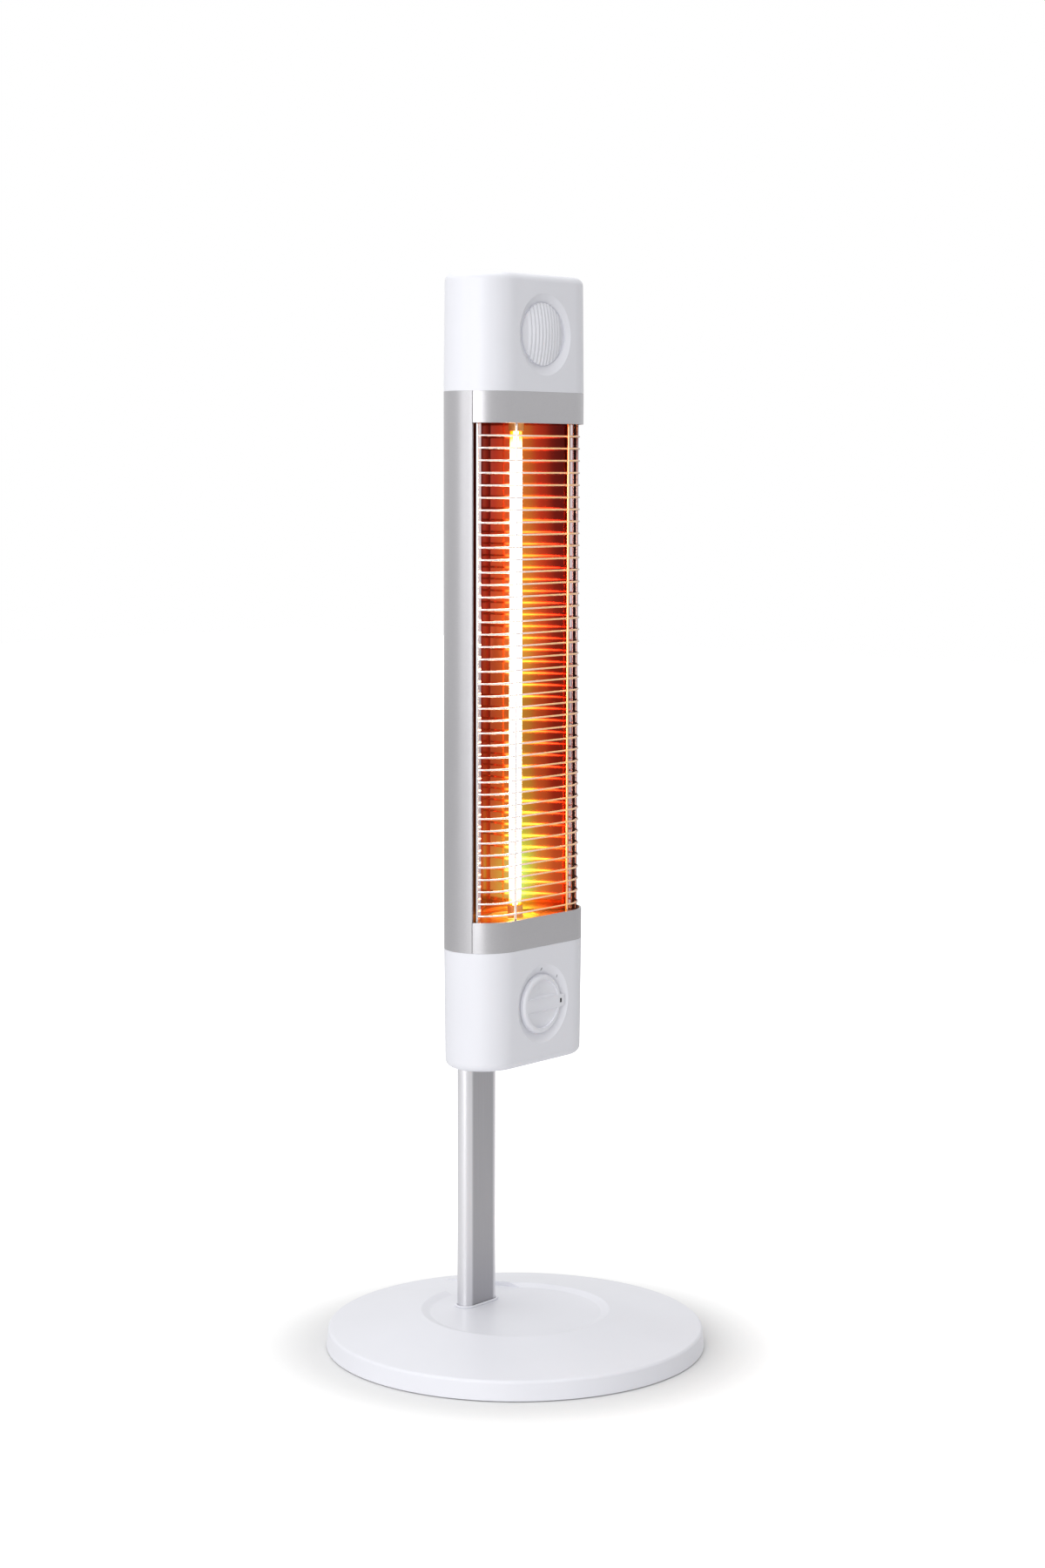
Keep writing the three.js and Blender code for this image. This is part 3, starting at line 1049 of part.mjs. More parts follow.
function tipPendulum() {
  const eye = alongX(pillar(0, 0, PENDULUM_EYE_RADIUS, -PENDULUM_ARM_HALF, PENDULUM_ARM_HALF,
    ROUND_SEGMENTS), TIP_PIVOT_Z);
  const arm = block([TIP_SWITCH_X - PENDULUM_ARM_HALF, TIP_SWITCH_Y - TIP_PIN_RADIUS,
    TIP_PIVOT_Z - PENDULUM_LENGTH],
  [TIP_SWITCH_X + PENDULUM_ARM_HALF, TIP_SWITCH_Y + TIP_PIN_RADIUS, TIP_PIVOT_Z]);
  const weight = pillar(TIP_SWITCH_X, TIP_SWITCH_Y, PENDULUM_WEIGHT_RADIUS,
    TIP_PIVOT_Z - PENDULUM_LENGTH - PENDULUM_WEIGHT_HEIGHT / 2,
    TIP_PIVOT_Z - PENDULUM_LENGTH + PENDULUM_WEIGHT_HEIGHT / 2, ROUND_SEGMENTS);
  const bore = alongX(pillar(0, 0, TIP_PIN_RADIUS + RUNNING_GAP, -TIP_HALF_WIDTH, TIP_HALF_WIDTH,
    ROUND_SEGMENTS), TIP_PIVOT_Z);
  return cut(joined(eye, arm, weight), bore);
}

const pendulumPin = alongX(pillar(0, 0, TIP_PIN_RADIUS, -TIP_HALF_WIDTH - TIP_WALL,
  TIP_HALF_WIDTH + TIP_WALL, ROUND_SEGMENTS), TIP_PIVOT_Z);

place(controls, 'tip_switch_housing', BAKELITE, tipSwitchHousing());
place(controls, 'tip_pendulum', BRASS, tipPendulum());
place(controls, 'pendulum_pin', STEEL, pendulumPin);

// ---------------------------------------------------------------- wiring
function terminalBlock() {
  const [width, depth, height] = TERMINAL_SIZE;
  const x0 = TERMINAL_X - width / 2;
  const y0 = TERMINAL_Y - depth / 2;
  const base = block([x0, y0, CAP_FLOOR_Z], [x0 + width, y0 + depth, CAP_FLOOR_Z + TERMINAL_BODY_HEIGHT]);
  const fins = [];
  for (let i = 0; i < TERMINAL_FINS; i += 1) {
    const x = x0 + (width - TERMINAL_FIN) * i / (TERMINAL_FINS - 1);
    fins.push(block([x, y0, CAP_FLOOR_Z], [x + TERMINAL_FIN, y0 + depth, CAP_FLOOR_Z + height]));
  }
  return joined(base, ...fins);
}

// Middle of a lead's way in, between two fins.
function terminalLeadX(bay) {
  const step = (TERMINAL_SIZE[0] - TERMINAL_FIN) / (TERMINAL_FINS - 1);
  return TERMINAL_X + step * (bay + 0.5 - (TERMINAL_FINS - 1) / 2);
}

const thermalCutout = pillar(CUTOUT_X, CUTOUT_Y, CUTOUT_RADIUS,
  LOWER_PLATE_BOTTOM_Z - CUTOUT_HEIGHT, LOWER_PLATE_BOTTOM_Z, ROUND_SEGMENTS);

const glandSeatY = BODY_BACK_Y - capLean(LOWER_BAND_Z - GLAND_Z, LOWER_CAP_HEIGHT);
const cordGland = facingBack(turned([
  [GLAND_BORE_RADIUS, -GLAND_INSIDE], [GLAND_RADIUS, -GLAND_INSIDE], [GLAND_RADIUS, FIT_GAP],
  [GLAND_FLANGE_RADIUS, FIT_GAP], [GLAND_FLANGE_RADIUS, FIT_GAP + GLAND_FLANGE_THICKNESS / 2],
  [GLAND_RADIUS, FIT_GAP + GLAND_FLANGE_THICKNESS],
  [GLAND_BORE_RADIUS, FIT_GAP + GLAND_FLANGE_THICKNESS], [GLAND_BORE_RADIUS, -GLAND_INSIDE],
], ROUND_SEGMENTS), GLAND_X, glandSeatY, GLAND_Z);

// Insulated lead through a few points, with square ends.
function lead(points) {
  const path = new THREE.CatmullRomCurve3(points.map(([x, y, z]) => new THREE.Vector3(x, y, z)));
  const section = new THREE.Shape();
  section.absarc(0, 0, LEAD_RADIUS, 0, Math.PI * 2);
  return solid(new THREE.ExtrudeGeometry(section, {
    steps: points.length * LEAD_STEPS, extrudePath: path, curveSegments: LEAD_SIDES / 2,
  }));
}

const switchBackY = SWITCH_FRONT_Y + SWITCH_DEPTH + FIT_GAP;
const lampTailZ = LAMP_END_OUT_Z - FIT_GAP;

place(controls, 'terminal_block', BLACK, terminalBlock());
place(controls, 'thermal_cutout', STEEL, thermalCutout);
place(controls, 'cord_gland', BLACK, cordGland);
const glandTailY = glandSeatY - GLAND_INSIDE - FIT_GAP;
const terminalBackY = TERMINAL_Y + TERMINAL_SIZE[1] / 2 + FIT_GAP;
const terminalEntryZ = CAP_FLOOR_Z + TERMINAL_ENTRY_HEIGHT;
const terminalTopZ = CAP_FLOOR_Z + TERMINAL_BODY_HEIGHT + FIT_GAP;
const upperTailZ = mirrorUp(lampTailZ);
const stub = LEAD_STRAIGHT / 2;

place(controls, 'lead_supply', LEAD, lead([
  [GLAND_X, glandTailY, GLAND_Z],
  [GLAND_X, glandTailY - stub, GLAND_Z],
  [GLAND_X, terminalBackY + stub, terminalEntryZ],
  [GLAND_X, terminalBackY, terminalEntryZ],
]));
place(controls, 'lead_switch', LEAD, lead([
  [terminalLeadX(0), TERMINAL_Y, terminalTopZ],
  [terminalLeadX(0), TERMINAL_Y, terminalTopZ + LEAD_STRAIGHT],
  [SWITCH_LEAD_X, switchBackY + LEAD_STRAIGHT, DIAL_Z],
  [SWITCH_LEAD_X, switchBackY, DIAL_Z],
]));
place(controls, 'lead_lamp_lower', LEAD, lead([
  [-SWITCH_LEAD_X, switchBackY, DIAL_Z],
  [-SWITCH_LEAD_X, switchBackY + LEAD_STRAIGHT, DIAL_Z],
  [0, LAMP_Y, lampTailZ - 2 * LEAD_STRAIGHT],
  [0, LAMP_Y, lampTailZ - stub],
  [0, LAMP_Y, lampTailZ],
]));
place(controls, 'lead_lamp_upper', LEAD, lead([
  [terminalLeadX(1), TERMINAL_Y, terminalTopZ],
  [terminalLeadX(1), TERMINAL_Y, terminalTopZ + LEAD_STRAIGHT],
  [LEAD_CHANNEL_X, LEAD_CHANNEL_Y, LOWER_PLATE_BOTTOM_Z - 3 * LEAD_STRAIGHT],
  [LEAD_CHANNEL_X, LEAD_CHANNEL_Y, LOWER_PLATE_BOTTOM_Z - LEAD_STRAIGHT],
  [LEAD_CHANNEL_X, LEAD_CHANNEL_Y, LOWER_PLATE_TOP_Z + LEAD_STRAIGHT],
  [LEAD_CHANNEL_X, LEAD_CHANNEL_Y, WINDOW_MIDDLE_Z],
  [LEAD_CHANNEL_X, LEAD_CHANNEL_Y, UPPER_PLATE_BOTTOM_Z - LEAD_STRAIGHT],
  [LEAD_CHANNEL_X, LEAD_CHANNEL_Y, UPPER_PLATE_TOP_Z + LEAD_STRAIGHT],
  [LEAD_CHANNEL_X / 2, (LEAD_CHANNEL_Y + LAMP_Y) / 2, upperTailZ + 2 * LEAD_STRAIGHT],
  [0, LAMP_Y, upperTailZ + LEAD_STRAIGHT],
  [0, LAMP_Y, upperTailZ + stub],
  [0, LAMP_Y, upperTailZ],
]));

export default heater;
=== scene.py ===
# %% [markdown]
# # An infrared patio heater tower
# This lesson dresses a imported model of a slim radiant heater. A white round foot
# carries an oval aluminium pole. The pole holds a long body with round ends: two
# white caps, silver bands and a silver back, and a window with a glowing lamp in
# front of a polished trough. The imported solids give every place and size, and the
# cells below give each visible piece its smooth shape and its finish.

# %% Load the frame
import math

import bmesh
import bpy
from mathutils import Matrix, Vector


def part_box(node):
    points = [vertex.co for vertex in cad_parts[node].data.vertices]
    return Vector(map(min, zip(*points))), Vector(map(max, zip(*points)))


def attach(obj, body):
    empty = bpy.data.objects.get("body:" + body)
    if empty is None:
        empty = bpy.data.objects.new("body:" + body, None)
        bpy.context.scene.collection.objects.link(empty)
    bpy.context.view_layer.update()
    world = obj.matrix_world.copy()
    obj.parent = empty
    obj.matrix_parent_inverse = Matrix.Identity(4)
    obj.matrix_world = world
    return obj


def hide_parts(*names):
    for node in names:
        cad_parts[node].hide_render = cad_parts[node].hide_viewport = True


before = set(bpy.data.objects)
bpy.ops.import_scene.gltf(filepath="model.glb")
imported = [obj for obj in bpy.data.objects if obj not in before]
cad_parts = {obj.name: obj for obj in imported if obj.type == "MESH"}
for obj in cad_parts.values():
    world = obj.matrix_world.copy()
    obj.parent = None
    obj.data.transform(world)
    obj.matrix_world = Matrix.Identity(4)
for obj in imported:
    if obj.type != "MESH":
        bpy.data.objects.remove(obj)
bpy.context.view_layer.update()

# %% [markdown]
# The main heights and faces of the body come from the boxes of its nodes, so the
# smooth pieces land exactly where the solids are. Only what a box can't tell,
# such as a wall or a fillet, is written here as a size of its own.

# %% Heights and faces of the body
MM = 0.001
FIT = 0.3 * MM
MERGE = 0.002 * MM
NEAR = 0.01 * MM
RING_NEAR = 0.05 * MM
LEVEL = 0.9

housing_low, housing_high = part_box("rear_housing")
band_low, band_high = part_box("lower_band")

BODY_WIDTH = housing_high.x - housing_low.x
BODY_FRONT = band_low.y
BODY_BACK = housing_high.y
BODY_DEPTH = BODY_BACK - BODY_FRONT
BODY_MIDDLE = (BODY_FRONT + BODY_BACK) / 2
SEAM_Y = housing_low.y
BOTTOM_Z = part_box("lower_cap")[0].z
LOWER_SEAM = housing_low.z
WINDOW_BOTTOM = band_high.z
WINDOW_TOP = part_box("upper_band")[0].z
UPPER_SEAM = housing_high.z
TOP_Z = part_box("upper_cap")[1].z
print("body", [round(v / MM, 1) for v in (BODY_WIDTH, BODY_DEPTH, TOP_Z - BOTTOM_Z)], "mm")

# %% [markdown]
# The camera stands at the front left of the heater, a little above its middle, and
# looks slightly down. A long lens keeps the uprights almost parallel, as in a
# catalogue picture. It is made first, because everything else is judged through it.

# %% Camera
CAMERA_AZIMUTH = math.radians(50.6)
CAMERA_PITCH = math.radians(6.15)
CAMERA_ROLL = math.radians(0.131)
CAMERA_PLACE = Vector((-1.8528, -1.5285, 0.736))
SENSOR_HEIGHT = 36
FOCAL_PIXELS = 3334
PICTURE_HEIGHT = 1800
FAR_PLANE = 100

bpy.ops.object.select_all(action="DESELECT")
bpy.ops.object.camera_add(location=CAMERA_PLACE)
camera = bpy.context.object
look = Matrix.Rotation(-CAMERA_AZIMUTH, 3, "Z")
look = look @ Matrix.Rotation(math.pi / 2 - CAMERA_PITCH, 3, "X")
look = look @ Matrix.Rotation(CAMERA_ROLL, 3, "Z")
camera.rotation_euler = look.to_euler()
camera.data.sensor_width = SENSOR_HEIGHT
camera.data.lens = FOCAL_PIXELS * SENSOR_HEIGHT / PICTURE_HEIGHT
camera.data.clip_end = FAR_PLANE
bpy.context.scene.camera = camera
bpy.context.scene.view_settings.view_transform = "Standard"
print("lens", round(camera.data.lens, 2), "mm")

# %% [markdown]
# ## Small helpers
# An operator works on whatever is selected, so each step first picks its piece
# and then chooses faces, edges or points by where they are. These helpers keep
# that short.

# %% Picking pieces and parts of pieces
def pick(*pieces):
    """Select only these pieces, in object mode, with the first one active."""
    if bpy.context.object and bpy.context.object.mode != "OBJECT":
        bpy.ops.object.mode_set(mode="OBJECT")
    bpy.ops.object.select_all(action="DESELECT")
    for piece in pieces:
        piece.select_set(True)
    if pieces:
        bpy.context.view_layer.objects.active = pieces[0]


def edit(piece, kind="FACE"):
    """Open a piece in edit mode with nothing selected."""
    pick(piece)
    bpy.ops.object.mode_set(mode="EDIT")
    bpy.ops.mesh.select_mode(type=kind)
    bpy.ops.mesh.select_all(action="DESELECT")


def choose(kind, test):
    """Select the points, edges or faces whose middle (and normal) pass a test."""
    bpy.ops.mesh.select_mode(type=kind)
    bpy.ops.mesh.select_all(action="DESELECT")
    mesh = bmesh.from_edit_mesh(bpy.context.object.data)
    found = 0
    for item in {"VERT": mesh.verts, "EDGE": mesh.edges, "FACE": mesh.faces}[kind]:
        if kind == "FACE":
            passed = test(item.calc_center_median(), item.normal)
        elif kind == "EDGE":
            passed = test(*[corner.co for corner in item.verts])
        else:
            passed = test(item.co)
        if passed:
            item.select_set(True)
            found += 1
    mesh.select_flush_mode()
    bmesh.update_edit_mesh(bpy.context.object.data)
    return found


def tidy_mesh():
    """In edit mode: merge doubles and turn all faces outwards."""
    bpy.ops.mesh.select_mode(type="VERT")
    bpy.ops.mesh.select_all(action="SELECT")
    bpy.ops.mesh.remove_doubles(threshold=MERGE)
    bpy.ops.mesh.normals_make_consistent(inside=False)


# %% [markdown]
# Modifiers do what would be slow by hand: Solidify gives a skin its wall, Boolean
# cuts one closed shape from another, and Bevel breaks the sharp edges, which is
# what makes plastic and sheet look real, because a true edge always catches light.

# %% Walls, cuts and broken edges
def apply_modifiers(piece):
    pick(piece)
    for modifier in list(piece.modifiers):
        bpy.ops.object.modifier_apply(modifier=modifier.name)


def give_wall(piece, thickness):
    wall = piece.modifiers.new("wall", "SOLIDIFY")
    wall.thickness = thickness
    wall.offset = -1
    wall.use_even_offset = True
    apply_modifiers(piece)


def combine(piece, tool, operation):
    """DIFFERENCE cuts the tool away, UNION joins it, INTERSECT keeps what both share."""
    step = piece.modifiers.new("combine", "BOOLEAN")
    step.operation = operation
    step.solver = "EXACT"
    step.object = tool
    apply_modifiers(piece)
    bpy.data.objects.remove(tool)


def break_edges(piece, width, segments=2, angle=32):
    bevel = piece.modifiers.new("edges", "BEVEL")
    bevel.width = width
    bevel.segments = segments
    bevel.limit_method = "ANGLE"
    bevel.angle_limit = math.radians(angle)
    bevel.harden_normals = False
    apply_modifiers(piece)


# %% [markdown]
# Most of this heater is an oval with full round ends, pulled up like dough through
# a die. By hand that is a plane, scaled, with its corners beveled until the arcs
# meet, and then extruded. The helper leaves the top face selected in edit mode.

# %% An oval with full round ends, pulled up
ROUND_STEPS = 24


def oval(width, depth, middle_y, z, height):
    pick()
    bpy.ops.mesh.primitive_plane_add(size=1, location=(0, 0, 0))
    piece = bpy.context.object
    edit(piece)
    bpy.ops.mesh.select_all(action="SELECT")
    bpy.ops.transform.resize(value=(width, depth, 1))
    bpy.ops.mesh.bevel(offset=depth / 2, segments=ROUND_STEPS, profile=0.5,
                       affect="VERTICES", clamp_overlap=False)
    bpy.ops.mesh.select_all(action="SELECT")
    bpy.ops.mesh.remove_doubles(threshold=MERGE)
    bpy.ops.transform.translate(value=(0, middle_y, z))
    bpy.ops.mesh.extrude_region_move(TRANSFORM_OT_translate={"value": (0, 0, height)})
    return piece


def oval_solid(width, depth, middle_y, z, height):
    """The same as a closed solid, back in object mode."""
    piece = oval(width, depth, middle_y, z, height)
    tidy_mesh()
    pick(piece)
    return piece


def make_tube(piece, wall):
    """Open both ends of an upright solid and give what is left a wall."""
    edit(piece)
    choose("FACE", lambda middle, normal: abs(normal.z) > LEVEL)
    bpy.ops.mesh.delete(type="FACE")
    pick(piece)
    give_wall(piece, wall)
    return piece


def oval_tube(width, depth, middle_y, z, height, wall):
    """The same as an open tube with a wall inside its outline."""
    return make_tube(oval_solid(width, depth, middle_y, z, height), wall)


# %% [markdown]
# Round pieces start as a cylinder that stands on its own axis. Dials, screws and
# glands are made lying on their back, looking up, and are then stood up so that
# they look to the front or to the back.

# %% Round solids, and standing pieces up
DISC_STEPS = 96


def disc(radius, z, height, steps=DISC_STEPS, x=0, y=0, top_radius=None):
    """A closed cylinder, or a cone's slice when the top has its own radius."""
    pick()
    bpy.ops.mesh.primitive_cone_add(vertices=steps, radius1=radius, depth=height,
                                    radius2=radius if top_radius is None else top_radius,
                                    location=(x, y, z + height / 2))
    piece = bpy.context.object
    bpy.ops.object.transform_apply(location=True, rotation=True, scale=True)
    return piece


def slab(low, high):
    """A closed box between two corners."""
    pick()
    bpy.ops.mesh.primitive_cube_add(size=1, location=(Vector(low) + Vector(high)) / 2)
    piece = bpy.context.object
    piece.scale = Vector(high) - Vector(low)
    bpy.ops.object.transform_apply(location=True, rotation=True, scale=True)
    return piece


def copy_of(piece):
    """A copy with a mesh of its own."""
    twin = piece.copy()
    twin.data = piece.data.copy()
    bpy.context.scene.collection.objects.link(twin)
    return twin


def stand(piece, x, y, z, towards="FRONT"):
    """Turn a piece made looking up so that it looks to the front or the back."""
    pick(piece)
    piece.rotation_euler.x = math.pi / 2 if towards == "FRONT" else -math.pi / 2
    piece.location = (x, y, z)
    bpy.ops.object.transform_apply(location=True, rotation=True, scale=True)
    return piece


# %% [markdown]
# ## Finishes
# Each finish is one material with a little life in it: moulded plastic has a fine
# grain and faint flow, silver paint has flakes, drawn aluminium has lines along
# its length. All patterns read Object coordinates, which are metres here, so a
# scale of 1000 makes a pattern about a millimetre wide.

# %% Node helpers for the finishes
def set_inputs(node, values):
    for name, value in values.items():
        node.inputs[name].default_value = value


def new_finish(name, color, roughness, metallic=0.0):
    material = bpy.data.materials.new(name)
    material.use_nodes = True
    shader = material.node_tree.nodes["Principled BSDF"]
    set_inputs(shader, {"Base Color": (*color, 1), "Roughness": roughness, "Metallic": metallic})
    return material, shader


def add(material, kind, **settings):
    node = material.node_tree.nodes.new(kind)
    for name, value in settings.items():
        setattr(node, name, value)
    return node


def join(material, output, target):
    material.node_tree.links.new(output, target)


def place_pattern(material, scale):
    """Object coordinates, stretched by a scale for each axis."""
    where = add(material, "ShaderNodeTexCoord")
    spread = add(material, "ShaderNodeMapping")
    spread.inputs["Scale"].default_value = scale
    join(material, where.outputs["Object"], spread.inputs["Vector"])
    return spread.outputs["Vector"]


def noise(material, scale, detail=3.0, rough=0.5):
    pattern = add(material, "ShaderNodeTexNoise")
    set_inputs(pattern, {"Scale": 1.0, "Detail": detail, "Roughness": rough})
    join(material, place_pattern(material, scale), pattern.inputs["Vector"])
    return pattern.outputs["Fac"]


def ramp(material, factor, stops):
    """A colour ramp through (place, colour) stops."""
    node = add(material, "ShaderNodeValToRGB")
    elements = node.color_ramp.elements
    while len(elements) < len(stops):
        elements.new(0.5)
    for element, (place, color) in zip(elements, stops):
        element.position = place
        element.color = (*color, 1) if len(color) == 3 else color
    join(material, factor, node.inputs["Fac"])
    return node.outputs["Color"]


def spread_value(material, factor, low, high):
    node = add(material, "ShaderNodeMapRange")
    set_inputs(node, {"To Min": low, "To Max": high})
    join(material, factor, node.inputs["Value"])
    return node.outputs["Result"]


def bump(material, shader, height, strength, depth):
    node = add(material, "ShaderNodeBump")
    set_inputs(node, {"Strength": strength, "Distance": depth})
    join(material, height, node.inputs["Height"])
    join(material, node.outputs["Normal"], shader.inputs["Normal"])


def axis_value(material, axis):
    where = add(material, "ShaderNodeTexCoord")
    split = add(material, "ShaderNodeSeparateXYZ")
    join(material, where.outputs["Object"], split.inputs["Vector"])
    return split.outputs[axis]


def between(material, value, low, high):
    """0 at low and 1 at high, clamped."""
    node = add(material, "ShaderNodeMapRange")
    set_inputs(node, {"From Min": low, "From Max": high})
    join(material, value, node.inputs["Value"])
    return node.outputs["Result"]


def blend_colors(material, factor, a, b, kind="MIX"):
    node = add(material, "ShaderNodeMix", data_type="RGBA", blend_type=kind)
    if hasattr(factor, "links"):
        join(material, factor, node.inputs[0])
    else:
        node.inputs[0].default_value = factor
    for value, socket in ((a, node.inputs[6]), (b, node.inputs[7])):
        if hasattr(value, "links"):
            join(material, value, socket)
        else:
            socket.default_value = (*value, 1)
    return node.outputs[2]


def combine_values(material, a, b, operation):
    node = add(material, "ShaderNodeMath", operation=operation)
    for value, socket in zip((a, b), node.inputs):
        if hasattr(value, "links"):
            join(material, value, socket)
        else:
            socket.default_value = value
    return node.outputs[0]


def multiply(material, a, b):
    return combine_values(material, a, b, "MULTIPLY")


def add_up(material, a, b):
    return combine_values(material, a, b, "ADD")


def sideways(material):
    """How far a point is from the middle plane, on either side."""
    return combine_values(material, axis_value(material, "X"), 0, "ABSOLUTE")


def ray_kind(material, *names):
    """1 for rays of any of these kinds, else 0."""
    path = add(material, "ShaderNodeLightPath")
    total = path.outputs[names[0]]
    for name in names[1:]:
        total = combine_values(material, total, path.outputs[name], "MAXIMUM")
    return total


def shade(color, factor):
    return tuple(min(channel * factor, 1.0) for channel in color)


# %% [markdown]
# Moulded plastic is never one flat colour. A slow, faint change follows the flow of
# the melt, and a fine grain from the mould scatters the highlights. The same recipe
# serves the white shells and the dark inner parts, with other numbers.

# %% Moulded plastics and rubber
FLOW_SCALE = (14, 14, 9)
FLOW_EDGE = 0.3
SKIN_SPREAD = 0.06
GRAIN_STRENGTH = 0.25


def vary_color(material, shader, factor, color, change, edge):
    """Darker where the factor is low and lighter where it is high."""
    tone = ramp(material, factor, [(edge, shade(color, 1 - change)), (1 - edge, shade(color, 1 + change))])
    join(material, tone, shader.inputs["Base Color"])


def vary_roughness(material, shader, factor, low, high):
    join(material, spread_value(material, factor, low, high), shader.inputs["Roughness"])


def moulded(name, color, roughness, grain=1400, grain_depth=0.02 * MM, drift=0.03):
    material, shader = new_finish(name, color, roughness)
    vary_color(material, shader, noise(material, FLOW_SCALE, detail=2), color, drift, FLOW_EDGE)
    fine = noise(material, (grain, grain, grain), detail=2, rough=0.6)
    vary_roughness(material, shader, fine, roughness - SKIN_SPREAD, roughness + SKIN_SPREAD)
    bump(material, shader, fine, GRAIN_STRENGTH, grain_depth)
    return material


WHITE = moulded("moulded_white", (0.80, 0.805, 0.855), 0.38, drift=0.012)
BLACK = moulded("moulded_black", (0.018, 0.018, 0.02), 0.45, drift=0.15)
BAKELITE = moulded("brown_bakelite", (0.035, 0.022, 0.016), 0.42, grain=900, drift=0.25)
RUBBER = moulded("dark_rubber", (0.022, 0.022, 0.023), 0.85, grain=2200,
                 grain_depth=0.05 * MM, drift=0.2)
SLEEVE = moulded("lead_insulation", (0.16, 0.035, 0.02), 0.5, grain=2600, drift=0.15)
INK = moulded("printed_ink", (0.05, 0.05, 0.055), 0.55, grain=3000, drift=0.1)
print("plastics ready")

# %% [markdown]
# The housing and bands are sheet sprayed with silver paint: a grey metallic coat
# whose flakes lie at slightly different angles. A dense cell pattern tips the
# normals and the tone a little from flake to flake.

# %% Silver paint
SILVER_COLOR = (0.456, 0.45, 0.467)
SILVER_ROUGHNESS = (0.33, 0.40)
FLAKE_SCALE = (3600, 3600, 3600)
FLAKE_CHANGE = 0.07
FLAKE_STRENGTH = 0.12
FLAKE_DEPTH = 0.01 * MM
MIST_SCALE = (60, 60, 40)


def silver_paint():
    material, shader = new_finish("silver_paint", SILVER_COLOR, 0.36, 0.82)
    flakes = add(material, "ShaderNodeTexVoronoi")
    flakes.inputs["Scale"].default_value = 1.0
    join(material, place_pattern(material, FLAKE_SCALE), flakes.inputs["Vector"])
    vary_color(material, shader, flakes.outputs["Color"], SILVER_COLOR, FLAKE_CHANGE, 0)
    vary_roughness(material, shader, noise(material, MIST_SCALE), *SILVER_ROUGHNESS)
    bump(material, shader, flakes.outputs["Distance"], FLAKE_STRENGTH, FLAKE_DEPTH)
    return material


SILVER = silver_paint()

# %% [markdown]
# The pole is drawn aluminium with a satin anodised skin. The die leaves very fine lines along the length,
# so its noise is stretched hard along Z. The round ends are painted lighter than the flats, a painted
# highlight.

# %% Metals
LINE_EDGE = 0.25
LINE_SMOOTHER = 0.05
LINE_ROUGHER = 0.06
LINE_STRENGTH = 0.2
LINE_DEPTH = 0.01 * MM


def drawn_metal(name, color, roughness, scale, change=0.05):
    """Metal with fine lines along the axis whose scale is smallest."""
    material, shader = new_finish(name, color, roughness, 1.0)
    lines = noise(material, scale, detail=4, rough=0.6)
    vary_color(material, shader, lines, color, change, LINE_EDGE)
    vary_roughness(material, shader, lines, roughness - LINE_SMOOTHER, roughness + LINE_ROUGHER)
    bump(material, shader, lines, LINE_STRENGTH, LINE_DEPTH)
    return material


def pole_metal():
    """Satin flats between round ends painted lighter, a painted highlight where the round ends catch the
    light.
    """
    material = drawn_metal("anodised_aluminium", POLE_FLAT, 0.34, (1500, 1500, 12))
    shader = material.node_tree.nodes["Principled BSDF"]
    satin = shader.inputs["Base Color"].links[0].from_socket
    # painted highlight: the round ends are painted lighter than the flats
    painted_highlight_mask = between(material, sideways(material), POLE_FLAT_HALF - SATIN_IN, POLE_FLAT_HALF + SATIN_OUT)
    join(material, blend_colors(material, painted_highlight_mask, satin, POLE_ROUND_PAINTED_HIGHLIGHT), shader.inputs["Base Color"])
    return material


POLE_FLAT = (0.37, 0.365, 0.385)
# colour of the painted highlight on the round ends
POLE_ROUND_PAINTED_HIGHLIGHT = (0.68, 0.675, 0.70)
SATIN_IN = 1.2 * MM
SATIN_OUT = 1.5 * MM
pole_low, pole_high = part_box("pole")
POLE_WIDTH = pole_high.x - pole_low.x
POLE_DEPTH = pole_high.y - pole_low.y
POLE_Y = (pole_low.y + pole_high.y) / 2
POLE_FLAT_HALF = (POLE_WIDTH - POLE_DEPTH) / 2
POLE_FINISH = pole_metal()
STEEL = drawn_metal("zinc_plated_steel", (0.42, 0.43, 0.45), 0.36, (900, 900, 900), change=0.12)
BRASS = drawn_metal("turned_brass", (0.55, 0.38, 0.14), 0.3, (300, 300, 2500), change=0.1)
CERAMIC = moulded("lamp_ceramic", (0.44, 0.26, 0.10), 0.6, grain=1800, drift=0.08)
print("metals ready")

# %% [markdown]
# ## The foot
# The foot is one white moulding: a low cone with a raised ring in the middle, a
# flat round floor inside the ring, and a shallow ramp that lets the cord leave
# behind the pole. Spun from rings, it needs no joins: a circle is extruded inwards
# ring by ring and then closed. The ramp is cut afterwards with a tilted wedge.

# %% Foot cover
cover_low, cover_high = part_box("base_cover")
FOOT_RADIUS = cover_high.x
FOOT_LIFT = cover_low.z
CREST_Z = cover_high.z
RIM_RADIUS = FOOT_RADIUS - 1.5 * MM
RIM_Z = 16.7 * MM
CREST_RADIUS = 79.7 * MM
FLOOR_RADIUS = 72.4 * MM
FLOOR_Z = 27.4 * MM
FOOT_WALL = 3 * MM
FOOT_STEPS = 192
RAMP_START = 40 * MM
RAMP_LEFT = 2 * MM
RAMP_RIGHT = 58 * MM
RAMP_FALL = math.radians(5.2)
RAMP_SPLAY = math.radians(12)
FOOT_ROUNDS = (2.2 * MM, 0.9 * MM, 0.9 * MM)
FOOT_EDGE = 0.45 * MM


def ring_inwards(radius_from, radius_to, rise):
    """Extrude the selected ring of edges to a new radius and height."""
    bpy.ops.mesh.extrude_region_move(TRANSFORM_OT_translate={"value": (0, 0, rise)})
    share = radius_to / radius_from
    bpy.ops.transform.resize(value=(share, share, 1), center_override=(0, 0, 0))


def ring_edges(radius, z):
    def test(a, b):
        return all(abs(p.xy.length - radius) < RING_NEAR and abs(p.z - z) < RING_NEAR for p in (a, b))
    return choose("EDGE", test)


